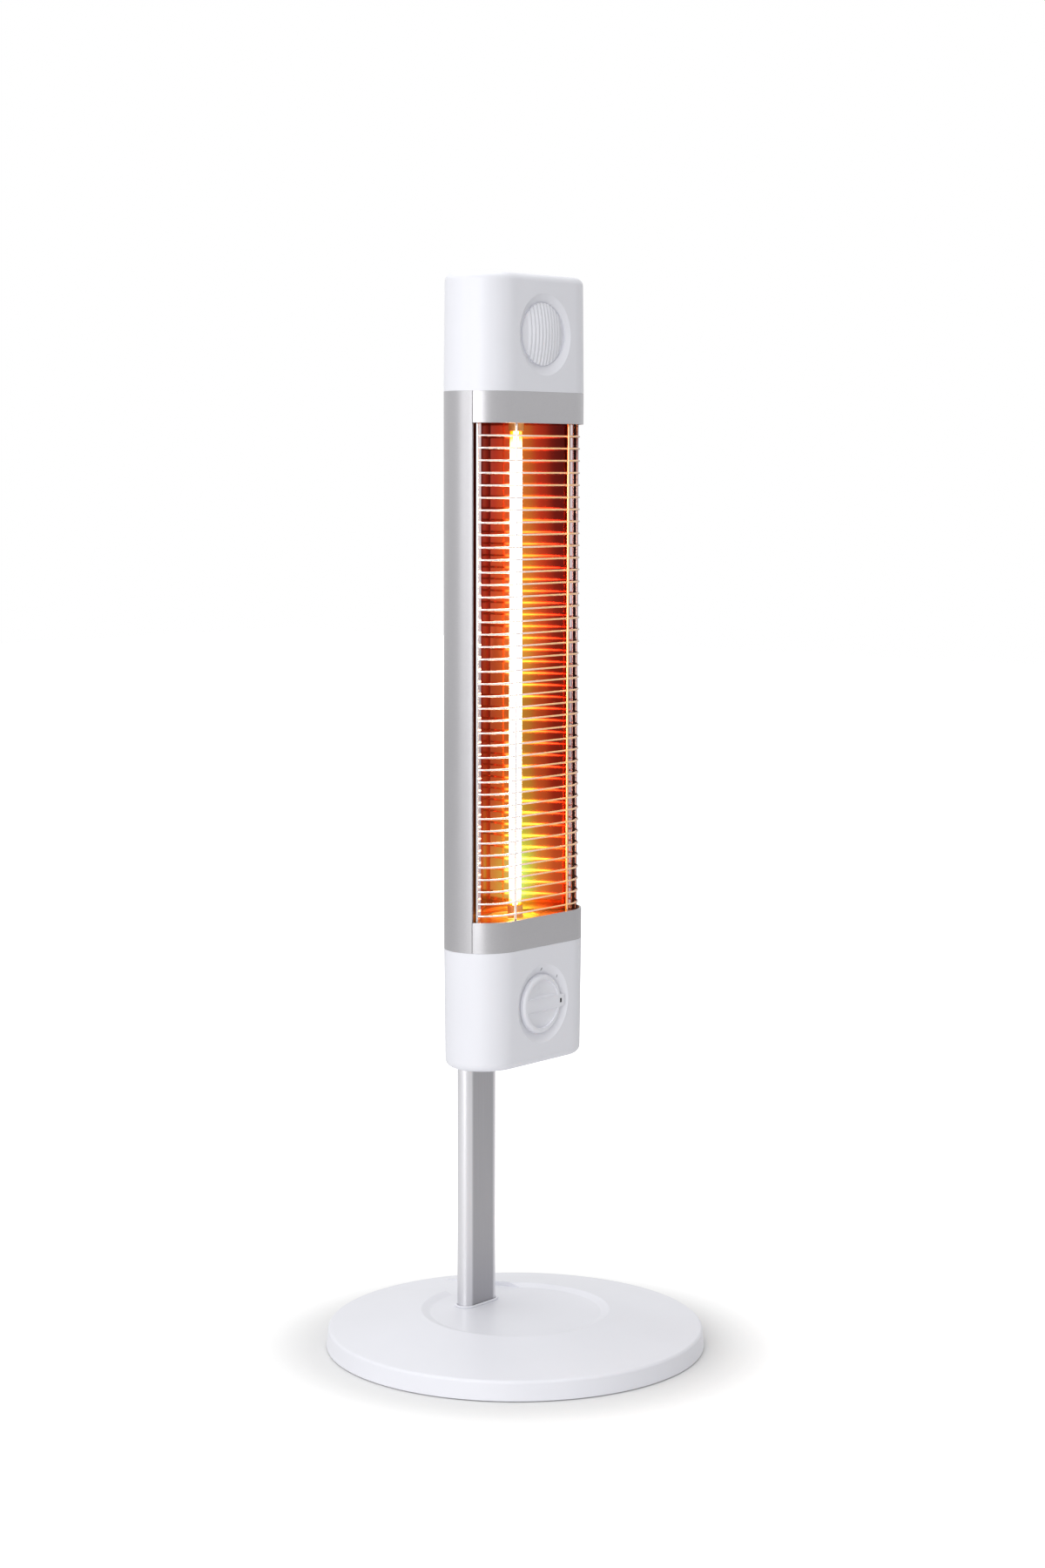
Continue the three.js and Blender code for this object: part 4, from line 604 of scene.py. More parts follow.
def spun_foot(wall):
    """The solid foot, or with a wall the room that is left inside it."""
    levels = [(FOOT_RADIUS - wall, FOOT_LIFT - wall), (RIM_RADIUS - wall, RIM_Z - wall),
              (CREST_RADIUS, CREST_Z - wall), (FLOOR_RADIUS, FLOOR_Z - wall)]
    pick()
    bpy.ops.mesh.primitive_circle_add(vertices=FOOT_STEPS, radius=levels[0][0],
                                      location=(0, 0, levels[0][1]))
    piece = bpy.context.object
    bpy.ops.object.transform_apply(location=True)
    edit(piece, "EDGE")
    bpy.ops.mesh.select_all(action="SELECT")
    for (radius_a, z_a), (radius_b, z_b) in zip(levels, levels[1:]):
        ring_inwards(radius_a, radius_b, z_b - z_a)
    bpy.ops.mesh.edge_face_add()
    if wall == 0:
        for level, width in zip(levels[1:], FOOT_ROUNDS):
            ring_edges(*level)
            bpy.ops.mesh.bevel(offset=width, segments=5, profile=0.5)
    ring_edges(*levels[0])
    bpy.ops.mesh.edge_face_add()
    tidy_mesh()
    pick(piece)
    return piece


def ramp_wedge(wall):
    """Everything above the ramp, a box whose right wall opens outwards."""
    reach = FOOT_RADIUS
    piece = slab((RAMP_LEFT - wall, -wall, 0), (RAMP_RIGHT + wall, reach, CREST_Z))
    edit(piece)
    choose("VERT", lambda p: p.x > RAMP_RIGHT and p.y > reach / 2)
    bpy.ops.transform.translate(value=(reach * math.tan(RAMP_SPLAY), 0, 0))
    pick(piece)
    piece.rotation_euler.x = -RAMP_FALL
    piece.location = (0, RAMP_START, FLOOR_Z - wall)
    bpy.ops.object.transform_apply(location=True, rotation=True, scale=True)
    return piece


# %% [markdown]
# Every finished piece is handed over in the same way: its place goes into its mesh,
# it gets its smooth shading and its finish, it rides on the body that carries it,
# and it stands for the solid that it replaces.

# %% Handing a piece over
made = []


def steady_normals(piece):
    """Large flat faces keep their own normal, so the broken edges look round."""
    weigh = piece.modifiers.new("weigh", "WEIGHTED_NORMAL")
    weigh.keep_sharp = True
    weigh.weight = 60
    apply_modifiers(piece)


def hand_over(piece, name, body, slot, finish, *nodes, smooth=32, steady=False):
    pick(piece)
    bpy.ops.object.transform_apply(location=True, rotation=True, scale=True)
    bpy.ops.object.shade_smooth_by_angle(angle=math.radians(smooth))
    piece.name = name
    piece.data.name = name
    piece.data.materials.clear()
    piece.data.materials.append(finish)
    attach(piece, body)
    if nodes:
        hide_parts(*nodes)
    if steady:
        steady_normals(piece)
    made.append(name)
    print(name, len(piece.data.polygons), "faces")


# %% Cut, hollow and place the foot
foot = spun_foot(0)
combine(foot, ramp_wedge(0), "DIFFERENCE")
break_edges(foot, FOOT_EDGE, segments=2, angle=38)
foot_room = spun_foot(FOOT_WALL)
combine(foot_room, ramp_wedge(FOOT_WALL), "DIFFERENCE")
combine(foot, foot_room, "DIFFERENCE")
pole_hole = oval_solid(POLE_WIDTH + 2 * FIT, POLE_DEPTH + 2 * FIT, POLE_Y, 0, 2 * CREST_Z)
combine(foot, pole_hole, "DIFFERENCE")
hand_over(foot, "foot_moulding", "heater", "white_plastic", WHITE, "base_cover", smooth=30, steady=True)

# %% [markdown]
# ## The pole
# The pole is an aluminium extrusion with an oval section. It leaves the foot through
# a small white bead and ends behind the body under a black plug.

# %% Pole, bead and plug
POLE_WALL = 1.6 * MM
BEAD_WALL = 2.1 * MM
BEAD_ROUND = 0.75 * MM
PLUG_HEAD = 2.5 * MM
PLUG_ROUND = 0.8 * MM
PLUG_PLAY = 3.8 * MM

pole = oval_tube(POLE_WIDTH, POLE_DEPTH, POLE_Y, pole_low.z, pole_high.z - pole_low.z, POLE_WALL)
hand_over(pole, "oval_pole", "heater", "pole_aluminium", POLE_FINISH, "pole")

bead_low, bead_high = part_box("pole_foot_collar")
bead = oval_tube(bead_high.x - bead_low.x, bead_high.y - bead_low.y, POLE_Y, bead_low.z,
                 bead_high.z - bead_low.z, BEAD_WALL)
break_edges(bead, BEAD_ROUND, segments=4)
hand_over(bead, "pole_bead", "heater", "white_plastic", WHITE, "pole_foot_collar")

plug_low, plug_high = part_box("pole_top_plug")
plug = oval_solid(plug_high.x - plug_low.x, plug_high.y - plug_low.y, POLE_Y,
                  plug_high.z - PLUG_HEAD, PLUG_HEAD)
combine(plug, oval_solid(POLE_WIDTH - PLUG_PLAY, POLE_DEPTH - PLUG_PLAY, POLE_Y, plug_low.z,
                         plug_high.z - plug_low.z - MM), "UNION")
break_edges(plug, PLUG_ROUND, segments=3)
hand_over(plug, "pole_plug", "heater", "black_plastic", BLACK, "pole_top_plug")

# %% [markdown]
# ## Housing and bands
# The silver skin wraps the sides and the back in one sheet, and two short bands
# close the front above and below the window. On the real heater they meet in a
# hairline seam on each side. Cutting one tube with a plane gives both exactly.

# %% Silver sheet
SHEET = 1.6 * MM
SHEET_EDGE = 0.25 * MM


def sheet_tube(z0, z1, keep_front):
    piece = oval_tube(BODY_WIDTH, BODY_DEPTH, BODY_MIDDLE, z0, z1 - z0, SHEET)
    cut_y = band_high.y if keep_front else SEAM_Y
    edit(piece)
    bpy.ops.mesh.select_all(action="SELECT")
    bpy.ops.mesh.bisect(plane_co=(0, cut_y, 0), plane_no=(0, 1, 0), use_fill=True,
                        clear_outer=keep_front, clear_inner=not keep_front)
    tidy_mesh()
    pick(piece)
    break_edges(piece, SHEET_EDGE, segments=2)
    return piece


housing = sheet_tube(LOWER_SEAM, UPPER_SEAM, keep_front=False)
hand_over(housing, "silver_housing", "heater", "silver_paint", SILVER, "rear_housing", steady=True)
for name, z0, z1 in [("lower_band", LOWER_SEAM, WINDOW_BOTTOM), ("upper_band", WINDOW_TOP, UPPER_SEAM)]:
    band = sheet_tube(z0, z1, keep_front=True)
    hand_over(band, "silver_" + name, "heater", "silver_paint", SILVER, name, steady=True)

# %% [markdown]
# ## The caps
# Both caps are thin white shells. The sides lean in slightly towards the closed
# end, so that the moulding leaves its tool, and a wide fillet runs round the end.
# The dish in the front is a cone cut into a thicker patch behind the skin.

# %% Shell of a cap
CAP_LEAN = 0.85 * MM
CAP_FILLET = 6.5 * MM
CAP_WALL = 2.4 * MM
CAP_EDGE = 0.3 * MM
SPIGOT = 8 * MM
SPIGOT_WALL = 2 * MM
DISH_RADIUS = 33 * MM
DISH_FLOOR = 25.6 * MM
DISH_DEPTH = 4.4 * MM
DISH_BACKING = 2.6 * MM


def cap_shell(seam_z, end_z):
    up = 1 if end_z > seam_z else -1
    piece = oval(BODY_WIDTH, BODY_DEPTH, BODY_MIDDLE, seam_z, end_z - seam_z)
    bpy.ops.transform.resize(value=(1 - 2 * CAP_LEAN / BODY_WIDTH, 1 - 2 * CAP_LEAN / BODY_DEPTH, 1),
                             center_override=(0, BODY_MIDDLE, 0))
    tidy_mesh()
    choose("EDGE", lambda a, b: abs(a.z - end_z) < NEAR and abs(b.z - end_z) < NEAR)
    bpy.ops.mesh.bevel(offset=CAP_FILLET, segments=10, profile=0.5, clamp_overlap=False)
    choose("FACE", lambda middle, normal: up * normal.z < -LEVEL)
    bpy.ops.mesh.delete(type="FACE")
    pick(piece)
    give_wall(piece, CAP_WALL)
    return piece


def dish_face(seam_z, end_z, dish_z):
    """Where the leaning front stands at the height of the dish."""
    share = abs(dish_z - seam_z) / (abs(end_z - seam_z) - CAP_FILLET)
    return BODY_FRONT + CAP_LEAN * min(share, 1)


def add_spigot(piece, seam_z, end_z):
    """A lip below the seam that centres the cap inside the sheet."""
    up = 1 if end_z > seam_z else -1
    ends = sorted((seam_z - up * SPIGOT, seam_z + up * CAP_WALL))
    inset = 2 * (SHEET + FIT)
    lip = oval_tube(BODY_WIDTH - inset, BODY_DEPTH - inset, BODY_MIDDLE, ends[0], ends[1] - ends[0],
                    SPIGOT_WALL)
    combine(piece, lip, "UNION")


def sink_dish(piece, face_y, dish_z):
    patch_depth = DISH_DEPTH + DISH_BACKING
    patch = disc(DISH_RADIUS + DISH_BACKING, -patch_depth, patch_depth - MM)
    combine(piece, stand(patch, 0, face_y, dish_z), "UNION")
    slope = (DISH_RADIUS - DISH_FLOOR) / DISH_DEPTH
    cone = disc(DISH_FLOOR, -DISH_DEPTH, DISH_DEPTH + MM, top_radius=DISH_RADIUS + slope * MM)
    combine(piece, stand(cone, 0, face_y, dish_z), "DIFFERENCE")


def cap_with_dish(seam_z, end_z, face_y, dish_z):
    piece = cap_shell(seam_z, end_z)
    add_spigot(piece, seam_z, end_z)
    sink_dish(piece, face_y, dish_z)
    return piece


# %% [markdown]
# The upper dish is widened sideways by a shallow oval pocket, which gives it the
# shape of an eye. A ribbed disc with a low dome sits in it.

# %% Upper cap
insert_low, insert_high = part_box("ribbed_insert")
EYE_Z = (insert_low.z + insert_high.z) / 2
EYE_FACE = dish_face(UPPER_SEAM, TOP_Z, EYE_Z)
POCKET_WIDTH = 58 * MM
POCKET_HEIGHT = 51.4 * MM

upper_cap = cap_with_dish(UPPER_SEAM, TOP_Z, EYE_FACE, EYE_Z)
pocket = disc(0.5, -DISH_DEPTH, DISH_DEPTH + MM)
pocket.scale = (POCKET_WIDTH, POCKET_HEIGHT, 1)
bpy.ops.object.transform_apply(scale=True)
combine(upper_cap, stand(pocket, 0, EYE_FACE, EYE_Z), "DIFFERENCE")
break_edges(upper_cap, CAP_EDGE, segments=2, angle=24)
hand_over(upper_cap, "cap_with_eye", "heater", "white_plastic", WHITE, "upper_cap", smooth=24, steady=True)

# %% Lower cap
knob_low, knob_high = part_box("control_knob")
DIAL_Z = (knob_low.z + knob_high.z) / 2
DIAL_FACE = dish_face(LOWER_SEAM, BOTTOM_Z, DIAL_Z)
HUB_HOLE = 6.3 * MM
GLAND_HOLE = 5.7 * MM
GLAND_REACH = 8 * MM
HOLE_STEPS = 32

lower_cap = cap_with_dish(LOWER_SEAM, BOTTOM_Z, DIAL_FACE, DIAL_Z)
hub_hole = disc(HUB_HOLE, -4 * DISH_DEPTH, 4 * DISH_DEPTH, steps=HOLE_STEPS)
combine(lower_cap, stand(hub_hole, 0, DIAL_FACE, DIAL_Z), "DIFFERENCE")
gland_low, gland_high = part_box("cord_gland")
GLAND_X = (gland_low.x + gland_high.x) / 2
GLAND_Z = (gland_low.z + gland_high.z) / 2
gland_hole = disc(GLAND_HOLE, -GLAND_REACH, 1.5 * GLAND_REACH, steps=HOLE_STEPS)
combine(lower_cap, stand(gland_hole, GLAND_X, BODY_BACK, GLAND_Z, "BACK"), "DIFFERENCE")
break_edges(lower_cap, CAP_EDGE, segments=2, angle=24)
hand_over(lower_cap, "cap_with_dial_dish", "heater", "white_plastic", WHITE, "lower_cap",
          smooth=24, steady=True)

# %% [markdown]
# ## The ribbed disc
# The disc in the eye is one moulding with a shallow dome and ten upright ribs.
# A fine grid is the natural start, because each point's height is a plain sum: the
# dome's arc plus a rounded rib. The grid is trimmed round with a cylinder.

# %% Ribbed disc
INSERT_RADIUS = (insert_high.x - insert_low.x) / 2
INSERT_RIM = 1.0 * MM
INSERT_DOME = 3.6 * MM
RIB_HEIGHT = 0.9 * MM
RIB_PITCH = 4.1 * MM
RIB_COUNT = 10
RIBS_START = -19.3 * MM
GRID_COLUMNS = 150
GRID_ROWS = 40


def dome_height(x, y):
    """The dome's arc, which stays at the rim's height outside the disc."""
    arc = (INSERT_RADIUS ** 2 + INSERT_DOME ** 2) / (2 * INSERT_DOME)
    reach = min(x * x + y * y, INSERT_RADIUS ** 2)
    return INSERT_RIM + INSERT_DOME - arc + math.sqrt(arc ** 2 - reach)


def rib_height(x):
    turn = (x - RIBS_START) / RIB_PITCH
    if not 0 < turn < RIB_COUNT:
        return 0
    wave = 0.5 - 0.5 * math.cos(2 * math.pi * turn)
    return RIB_HEIGHT * wave ** 0.6


def ribbed_disc():
    pick()
    bpy.ops.mesh.primitive_grid_add(x_subdivisions=GRID_COLUMNS, y_subdivisions=GRID_ROWS,
                                    size=2 * INSERT_RADIUS)
    piece = bpy.context.object
    edit(piece)
    bpy.ops.mesh.select_all(action="SELECT")
    bpy.ops.mesh.extrude_region_move(TRANSFORM_OT_translate={"value": (0, 0, INSERT_RIM)})
    mesh = bmesh.from_edit_mesh(piece.data)
    for point in mesh.verts:
        if point.select:
            point.co.z = dome_height(point.co.x, point.co.y) + rib_height(point.co.x)
    bmesh.update_edit_mesh(piece.data)
    tidy_mesh()
    pick(piece)
    combine(piece, disc(INSERT_RADIUS, -MM, INSERT_RADIUS), "INTERSECT")
    return stand(piece, 0, insert_high.y, EYE_Z)


hand_over(ribbed_disc(), "ribbed_disc", "heater", "white_plastic", WHITE, "ribbed_insert", smooth=40)

# %% [markdown]
# ## The dial
# The dial is a white disc with a grip across it. Two half-moon hollows beside the
# grip give the fingers room, and their floors slope up from the middle. The grip
# itself dips slightly, and a pointer with a dark inlay reaches over the rim.

# %% Dial blank and its hollows
KNOB_RADIUS = 25.1 * MM
KNOB_TOP_RADIUS = 24.4 * MM
KNOB_HEIGHT = 4 * MM
KNOB_BACK = knob_low.y + KNOB_HEIGHT
RIM_WIDTH = 4 * MM
HOLLOW_RADIUS = KNOB_TOP_RADIUS - RIM_WIDTH
GRIP_WIDTH = 11 * MM
GRIP_DIP = 0.9 * MM
HOLLOW_DEPTH = 3.3 * MM
HOLLOW_SLOPE = math.radians(8)
GRIP_DRAFT = math.radians(32)
RIM_ROUND = 2.3 * MM
POINTER_WIDTH = 10.2 * MM
POINTER_THICKNESS = 2.2 * MM
POINTER_ROUND = 1.6 * MM
MARK_X = 23.6 * MM
MARK_SIZE = (2.3 * MM, 3.4 * MM, 0.8 * MM)
MARK_ROUND = 0.15 * MM
SEAT_HALF = (1.3 * MM, 1.85 * MM)
HUB_RADIUS = 6 * MM
DIAL_EDGE = 0.35 * MM
ROLLER_STEPS = 720


def hollow_tool(side):
    """A half-moon with a floor of two slopes that meet in a crease."""
    piece = disc(HOLLOW_RADIUS, KNOB_HEIGHT - 2 * HOLLOW_DEPTH, 4 * HOLLOW_DEPTH)
    edit(piece)
    low = KNOB_HEIGHT - HOLLOW_DEPTH
    wall = (0, side * math.cos(GRIP_DRAFT), math.sin(GRIP_DRAFT))
    cuts = [((0, side * GRIP_WIDTH / 2, KNOB_HEIGHT), wall)]
    for lean in (1, -1):
        cuts.append(((0, 0, low), (-lean * math.sin(HOLLOW_SLOPE), 0, math.cos(HOLLOW_SLOPE))))
    for place, normal in cuts:
        bpy.ops.mesh.select_all(action="SELECT")
        bpy.ops.mesh.bisect(plane_co=place, plane_no=normal, use_fill=True, clear_inner=True)
    tidy_mesh()
    pick(piece)
    return piece


def dial():
    piece = disc(KNOB_RADIUS, 0, KNOB_HEIGHT, top_radius=KNOB_TOP_RADIUS)
    edit(piece, "EDGE")
    choose("EDGE", lambda a, b: min(a.z, b.z) > KNOB_HEIGHT - NEAR)
    bpy.ops.mesh.bevel(offset=RIM_ROUND, segments=7, profile=0.5)
    pick(piece)
    pointer = slab((HOLLOW_RADIUS, -POINTER_WIDTH / 2, KNOB_HEIGHT - POINTER_THICKNESS),
                   (knob_high.x, POINTER_WIDTH / 2, KNOB_HEIGHT))
    edit(pointer, "EDGE")
    choose("EDGE", lambda a, b: min(a.x, b.x) > knob_high.x - MM and abs(a.z - b.z) > MM)
    bpy.ops.mesh.bevel(offset=POINTER_ROUND, segments=6, profile=0.5)
    pick(pointer)
    combine(piece, pointer, "UNION")
    hub_end = KNOB_BACK - knob_high.y
    combine(piece, disc(HUB_RADIUS, hub_end, KNOB_HEIGHT / 2 - hub_end, steps=48), "UNION")
    for side in (1, -1):
        combine(piece, hollow_tool(side), "DIFFERENCE")
    bend = (HOLLOW_RADIUS ** 2 + GRIP_DIP ** 2) / (2 * GRIP_DIP)
    roller = disc(bend, -GRIP_WIDTH / 2, GRIP_WIDTH, steps=ROLLER_STEPS)
    roller.rotation_euler.x = math.pi / 2
    roller.location.z = KNOB_HEIGHT + bend - GRIP_DIP
    bpy.ops.object.transform_apply(location=True, rotation=True)
    combine(piece, roller, "DIFFERENCE")
    combine(piece, slab((MARK_X - SEAT_HALF[0], -SEAT_HALF[1], KNOB_HEIGHT - MM),
                        (MARK_X + SEAT_HALF[0], SEAT_HALF[1], KNOB_HEIGHT + MM)), "DIFFERENCE")
    break_edges(piece, DIAL_EDGE, segments=3, angle=24)
    return stand(piece, 0, KNOB_BACK, DIAL_Z)


hand_over(dial(), "dial", "dial", "white_plastic", WHITE, "control_knob", smooth=22, steady=True)

# %% Dark inlay on the pointer, and the printed marks
inlay = slab((MARK_X - MARK_SIZE[0] / 2, -MARK_SIZE[1] / 2, KNOB_HEIGHT - MARK_SIZE[2]),
             (MARK_X + MARK_SIZE[0] / 2, MARK_SIZE[1] / 2, KNOB_HEIGHT))
break_edges(inlay, MARK_ROUND, segments=2)
stand(inlay, 0, KNOB_BACK, DIAL_Z)
hand_over(inlay, "pointer_inlay", "dial", "black_plastic", BLACK, "knob_pointer_mark")

STROKE_RADIUS = 29.2 * MM
STROKE = (0.42 * MM, 3.0 * MM, 0.06 * MM)
STROKE_GAP = 1.0 * MM


def printed_stroke(angle, aside):
    """One thin stroke of ink on the dish's slope, upright at any angle."""
    piece = slab((-STROKE[0] / 2, -STROKE[1] / 2, 0), (STROKE[0] / 2, STROKE[1] / 2, STROKE[2]))
    out = Vector((math.sin(angle), math.cos(angle), 0))
    slope = math.atan2(DISH_DEPTH, DISH_RADIUS - DISH_FLOOR)
    depth = -DISH_DEPTH + (STROKE_RADIUS - DISH_FLOOR) * math.tan(slope)
    tilt = Matrix.Rotation(slope, 4, Vector((out.y, -out.x, 0)))
    piece.matrix_world = Matrix.Translation(out * STROKE_RADIUS + Vector((aside, 0, depth))) @ tilt
    bpy.ops.object.transform_apply(location=True, rotation=True)
    return piece


strokes = [printed_stroke(0, -STROKE_GAP / 2), printed_stroke(0, STROKE_GAP / 2),
           printed_stroke(math.pi / 4, 0)]
pick(*strokes)
bpy.ops.object.join()
stand(strokes[0], 0, DIAL_FACE, DIAL_Z)
hand_over(strokes[0], "dial_marks", "heater", "black_plastic", INK)

# %% [markdown]
# ## The window
# Two polished plates close the window at its ends. Each has a raised ring pressed
# round the lamp's hole. Between them stands the trough, a sheet bent to a parabola
# with the lamp in its focus, so that all the heat leaves to the front.

# %% Trough
trough_low, trough_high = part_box("reflector")
TROUGH_SHEET = 0.8 * MM
TROUGH_LIP = 5.5 * MM
TROUGH_HALF = trough_high.x - TROUGH_LIP
TROUGH_BACK = trough_high.y - TROUGH_SHEET
TROUGH_EDGE = trough_low.y
TROUGH_STEPS = 56


def trough_y(x):
    return TROUGH_BACK - (TROUGH_BACK - TROUGH_EDGE) * (x / TROUGH_HALF) ** 2


def trough():
    """One upright edge, pulled along the parabola and out into the lips."""
    xs = [-trough_high.x]
    xs += [TROUGH_HALF * (2 * step / TROUGH_STEPS - 1) for step in range(TROUGH_STEPS + 1)]
    xs.append(trough_high.x)
    ys = [TROUGH_EDGE] + [trough_y(x) for x in xs[1:-1]] + [TROUGH_EDGE]
    pick()
    bpy.ops.mesh.primitive_plane_add(size=1, location=(0, 0, 0))
    piece = bpy.context.object
    edit(piece, "VERT")
    choose("VERT", lambda p: p.x > 0)
    bpy.ops.mesh.delete(type="VERT")
    bpy.ops.mesh.select_all(action="SELECT")
    height = trough_high.z - trough_low.z
    bpy.ops.transform.resize(value=(1, height, 1))
    mesh = bmesh.from_edit_mesh(piece.data)
    for point in mesh.verts:
        point.co = Vector((xs[0], ys[0], trough_low.z + height * (point.co.y > 0)))
    bmesh.update_edit_mesh(piece.data)
    for i in range(1, len(xs)):
        step = (xs[i] - xs[i - 1], ys[i] - ys[i - 1], 0)
        bpy.ops.mesh.extrude_region_move(TRANSFORM_OT_translate={"value": step})
    mesh = bmesh.from_edit_mesh(piece.data)
    for face in mesh.faces:
        if face.normal.y > 0:
            face.normal_flip()
    bmesh.update_edit_mesh(piece.data)
    pick(piece)
    give_wall(piece, TROUGH_SHEET)
    return piece


# %% [markdown]
# The lit trough is the heart of the picture. Its colour is painted lamp light and painted reflection: close
# to the lamp the metal is painted from red over orange to yellow, brighter towards the bottom, and the far
# side is painted amber and brown. The sheet is real polished metal here, tinted by place with this painted
# light, with a weak painted glow and a band of painted gold reflection where the lamp's light folds.

# %% Finishes of the window, with painted lamp light
LAMP_Y = (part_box("lamp_tube")[0].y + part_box("lamp_tube")[1].y) / 2
GLOW_LOW = 388 * MM
GLOW_HIGH = 753 * MM
LIP_COLOR = (0.70, 0.58, 0.60)
LIP_START = 0.2 * MM
# weak painted glow of lamp light on the trough
TROUGH_PAINTED_GLOW = 0.12
RIPPLE_SCALE = (60, 60, 9)
RIPPLE_STRENGTH = 0.12
RIPPLE_DEPTH = 0.25 * MM
PAINTED_GOLD_REFLECTION = (0.85, 1.9, 1.3)
# how much of the painted gold reflection there is, from left to right
PAINTED_GOLD_ACROSS = [(0.68, 0.0), (0.735, 0.75), (0.79, 0.75), (0.84, 0.0)]
# painted lamp light runs from 0 (dark) to 1 (yellow): places across the trough, from left to right
PAINTED_LIGHT_ACROSS = [(0.0, 0.02), (0.15, 0.22), (0.34, 0.22), (0.5, 0.33), (0.58, 0.42), (0.66, 0.49),
               (0.74, 0.50), (0.82, 0.39), (0.88, 0.27), (0.93, 0.10), (1.0, 0.0)]
# and what is added from the bottom of the trough to its top
PAINTED_LIGHT_UPWARDS = [(0.0, 0.44), (0.10, 0.48), (0.20, 0.31), (0.31, 0.20), (0.52, 0.20), (0.73, 0.13),
                (0.87, 0.05), (1.0, 0.0)]
PAINTED_LIGHT_COLORS = [(0.0, (0.03, 0.001, 0.001)), (0.2, (0.15, 0.006, 0.002)), (0.4, (0.40, 0.025, 0.006)),
               (0.6, (0.66, 0.10, 0.018)), (0.75, (0.78, 0.20, 0.03)), (0.9, (0.80, 0.42, 0.06)),
               (1.0, (0.85, 0.66, 0.2))]


def gray_ramp(material, factor, stops):
    """A ramp of plain values, given as (place, value)."""
    return ramp(material, factor, [(place, (value,) * 3) for place, value in stops])


def tinted(material, color, tint):
    return blend_colors(material, 1.0, color, tint, "MULTIPLY")


def painted_light_trough():
    material, shader = new_finish("painted_light_trough", (0.5, 0.1, 0.02), 0.07, 1.0)
    # the colour and glow below are painted lamp light and painted reflection, set by place
    x = between(material, axis_value(material, "X"), -TROUGH_HALF, TROUGH_HALF)
    z = between(material, axis_value(material, "Z"), trough_low.z, trough_high.z)
    painted_light = add_up(material, gray_ramp(material, x, PAINTED_LIGHT_ACROSS), gray_ramp(material, z, PAINTED_LIGHT_UPWARDS))
    color = ramp(material, painted_light, PAINTED_LIGHT_COLORS)
    # painted reflection: a gold band of the lamp's light across the trough
    painted_gold = gray_ramp(material, x, PAINTED_GOLD_ACROSS)
    color = blend_colors(material, painted_gold, color, tinted(material, color, PAINTED_GOLD_REFLECTION))
    on_lip = combine_values(material, sideways(material), TROUGH_HALF + LIP_START, "GREATER_THAN")
    join(material, blend_colors(material, on_lip, color, LIP_COLOR), shader.inputs["Base Color"])
    join(material, color, shader.inputs["Emission Color"])
    set_inputs(shader, {"Emission Strength": TROUGH_PAINTED_GLOW, "Coat Weight": 0.12, "Coat Roughness": 0.03})
    bump(material, shader, noise(material, RIPPLE_SCALE), RIPPLE_STRENGTH, RIPPLE_DEPTH)
    return material


TROUGH_FINISH = painted_light_trough()
hand_over(trough(), "polished_trough", "heater", "polished_aluminium", TROUGH_FINISH, "reflector",
          smooth=30)

# %% [markdown]
# The plates at the ends of the window are of the same polished sheet. Their ring is pressed up from the
# sheet, so it is modelled as a step and not as a loose ring. Their colour and glow are painted lamp light,
# warm near the lamp's hole and fading outwards.

# %% End plates
LAMP_HOLE = 7.2 * MM
RING_RADIUS = 21 * MM
RING_WIDTH = 2 * MM
RING_HEIGHT = 0.8 * MM
PLATE_EDGE = 0.3 * MM
PUNCH = 5 * MM
PLATE_REACH = 60 * MM
DIMPLE_SCALE = (420, 420, 420)
DIMPLE_STRENGTH = 0.5
DIMPLE_DEPTH = 0.2 * MM
# painted lamp light and glow, from the lamp outwards
PLATE_PAINTED_LIGHT_TINTS = [(0.1, (0.95, 0.62, 0.18)), (0.45, (0.80, 0.35, 0.08)), (1.0, (0.55, 0.28, 0.16))]
PLATE_PAINTED_GLOWS = [(0.08, (1.0, 0.45, 0.06)), (0.5, (0.45, 0.12, 0.01)), (1.0, (0.03, 0.0, 0.0))]


def painted_light_plate():
    material, shader = new_finish("painted_light_plate", (0.8, 0.4, 0.15), 0.16, 1.0)
    where = add(material, "ShaderNodeTexCoord")
    flat = add(material, "ShaderNodeVectorMath", operation="MULTIPLY")
    flat.inputs[1].default_value = (1, 1, 0)
    join(material, where.outputs["Object"], flat.inputs[0])
    far = add(material, "ShaderNodeVectorMath", operation="DISTANCE")
    far.inputs[1].default_value = (0, LAMP_Y, 0)
    join(material, flat.outputs[0], far.inputs[0])
    # painted lamp light: warm colour and glow near the lamp's hole, fading outwards
    away = between(material, far.outputs["Value"], 0, PLATE_REACH)
    join(material, ramp(material, away, PLATE_PAINTED_LIGHT_TINTS), shader.inputs["Base Color"])
    join(material, ramp(material, away, PLATE_PAINTED_GLOWS), shader.inputs["Emission Color"])
    shader.inputs["Emission Strength"].default_value = 0.5
    bump(material, shader, noise(material, DIMPLE_SCALE, detail=4), DIMPLE_STRENGTH, DIMPLE_DEPTH)
    return material


PLATE_FINISH = painted_light_plate()


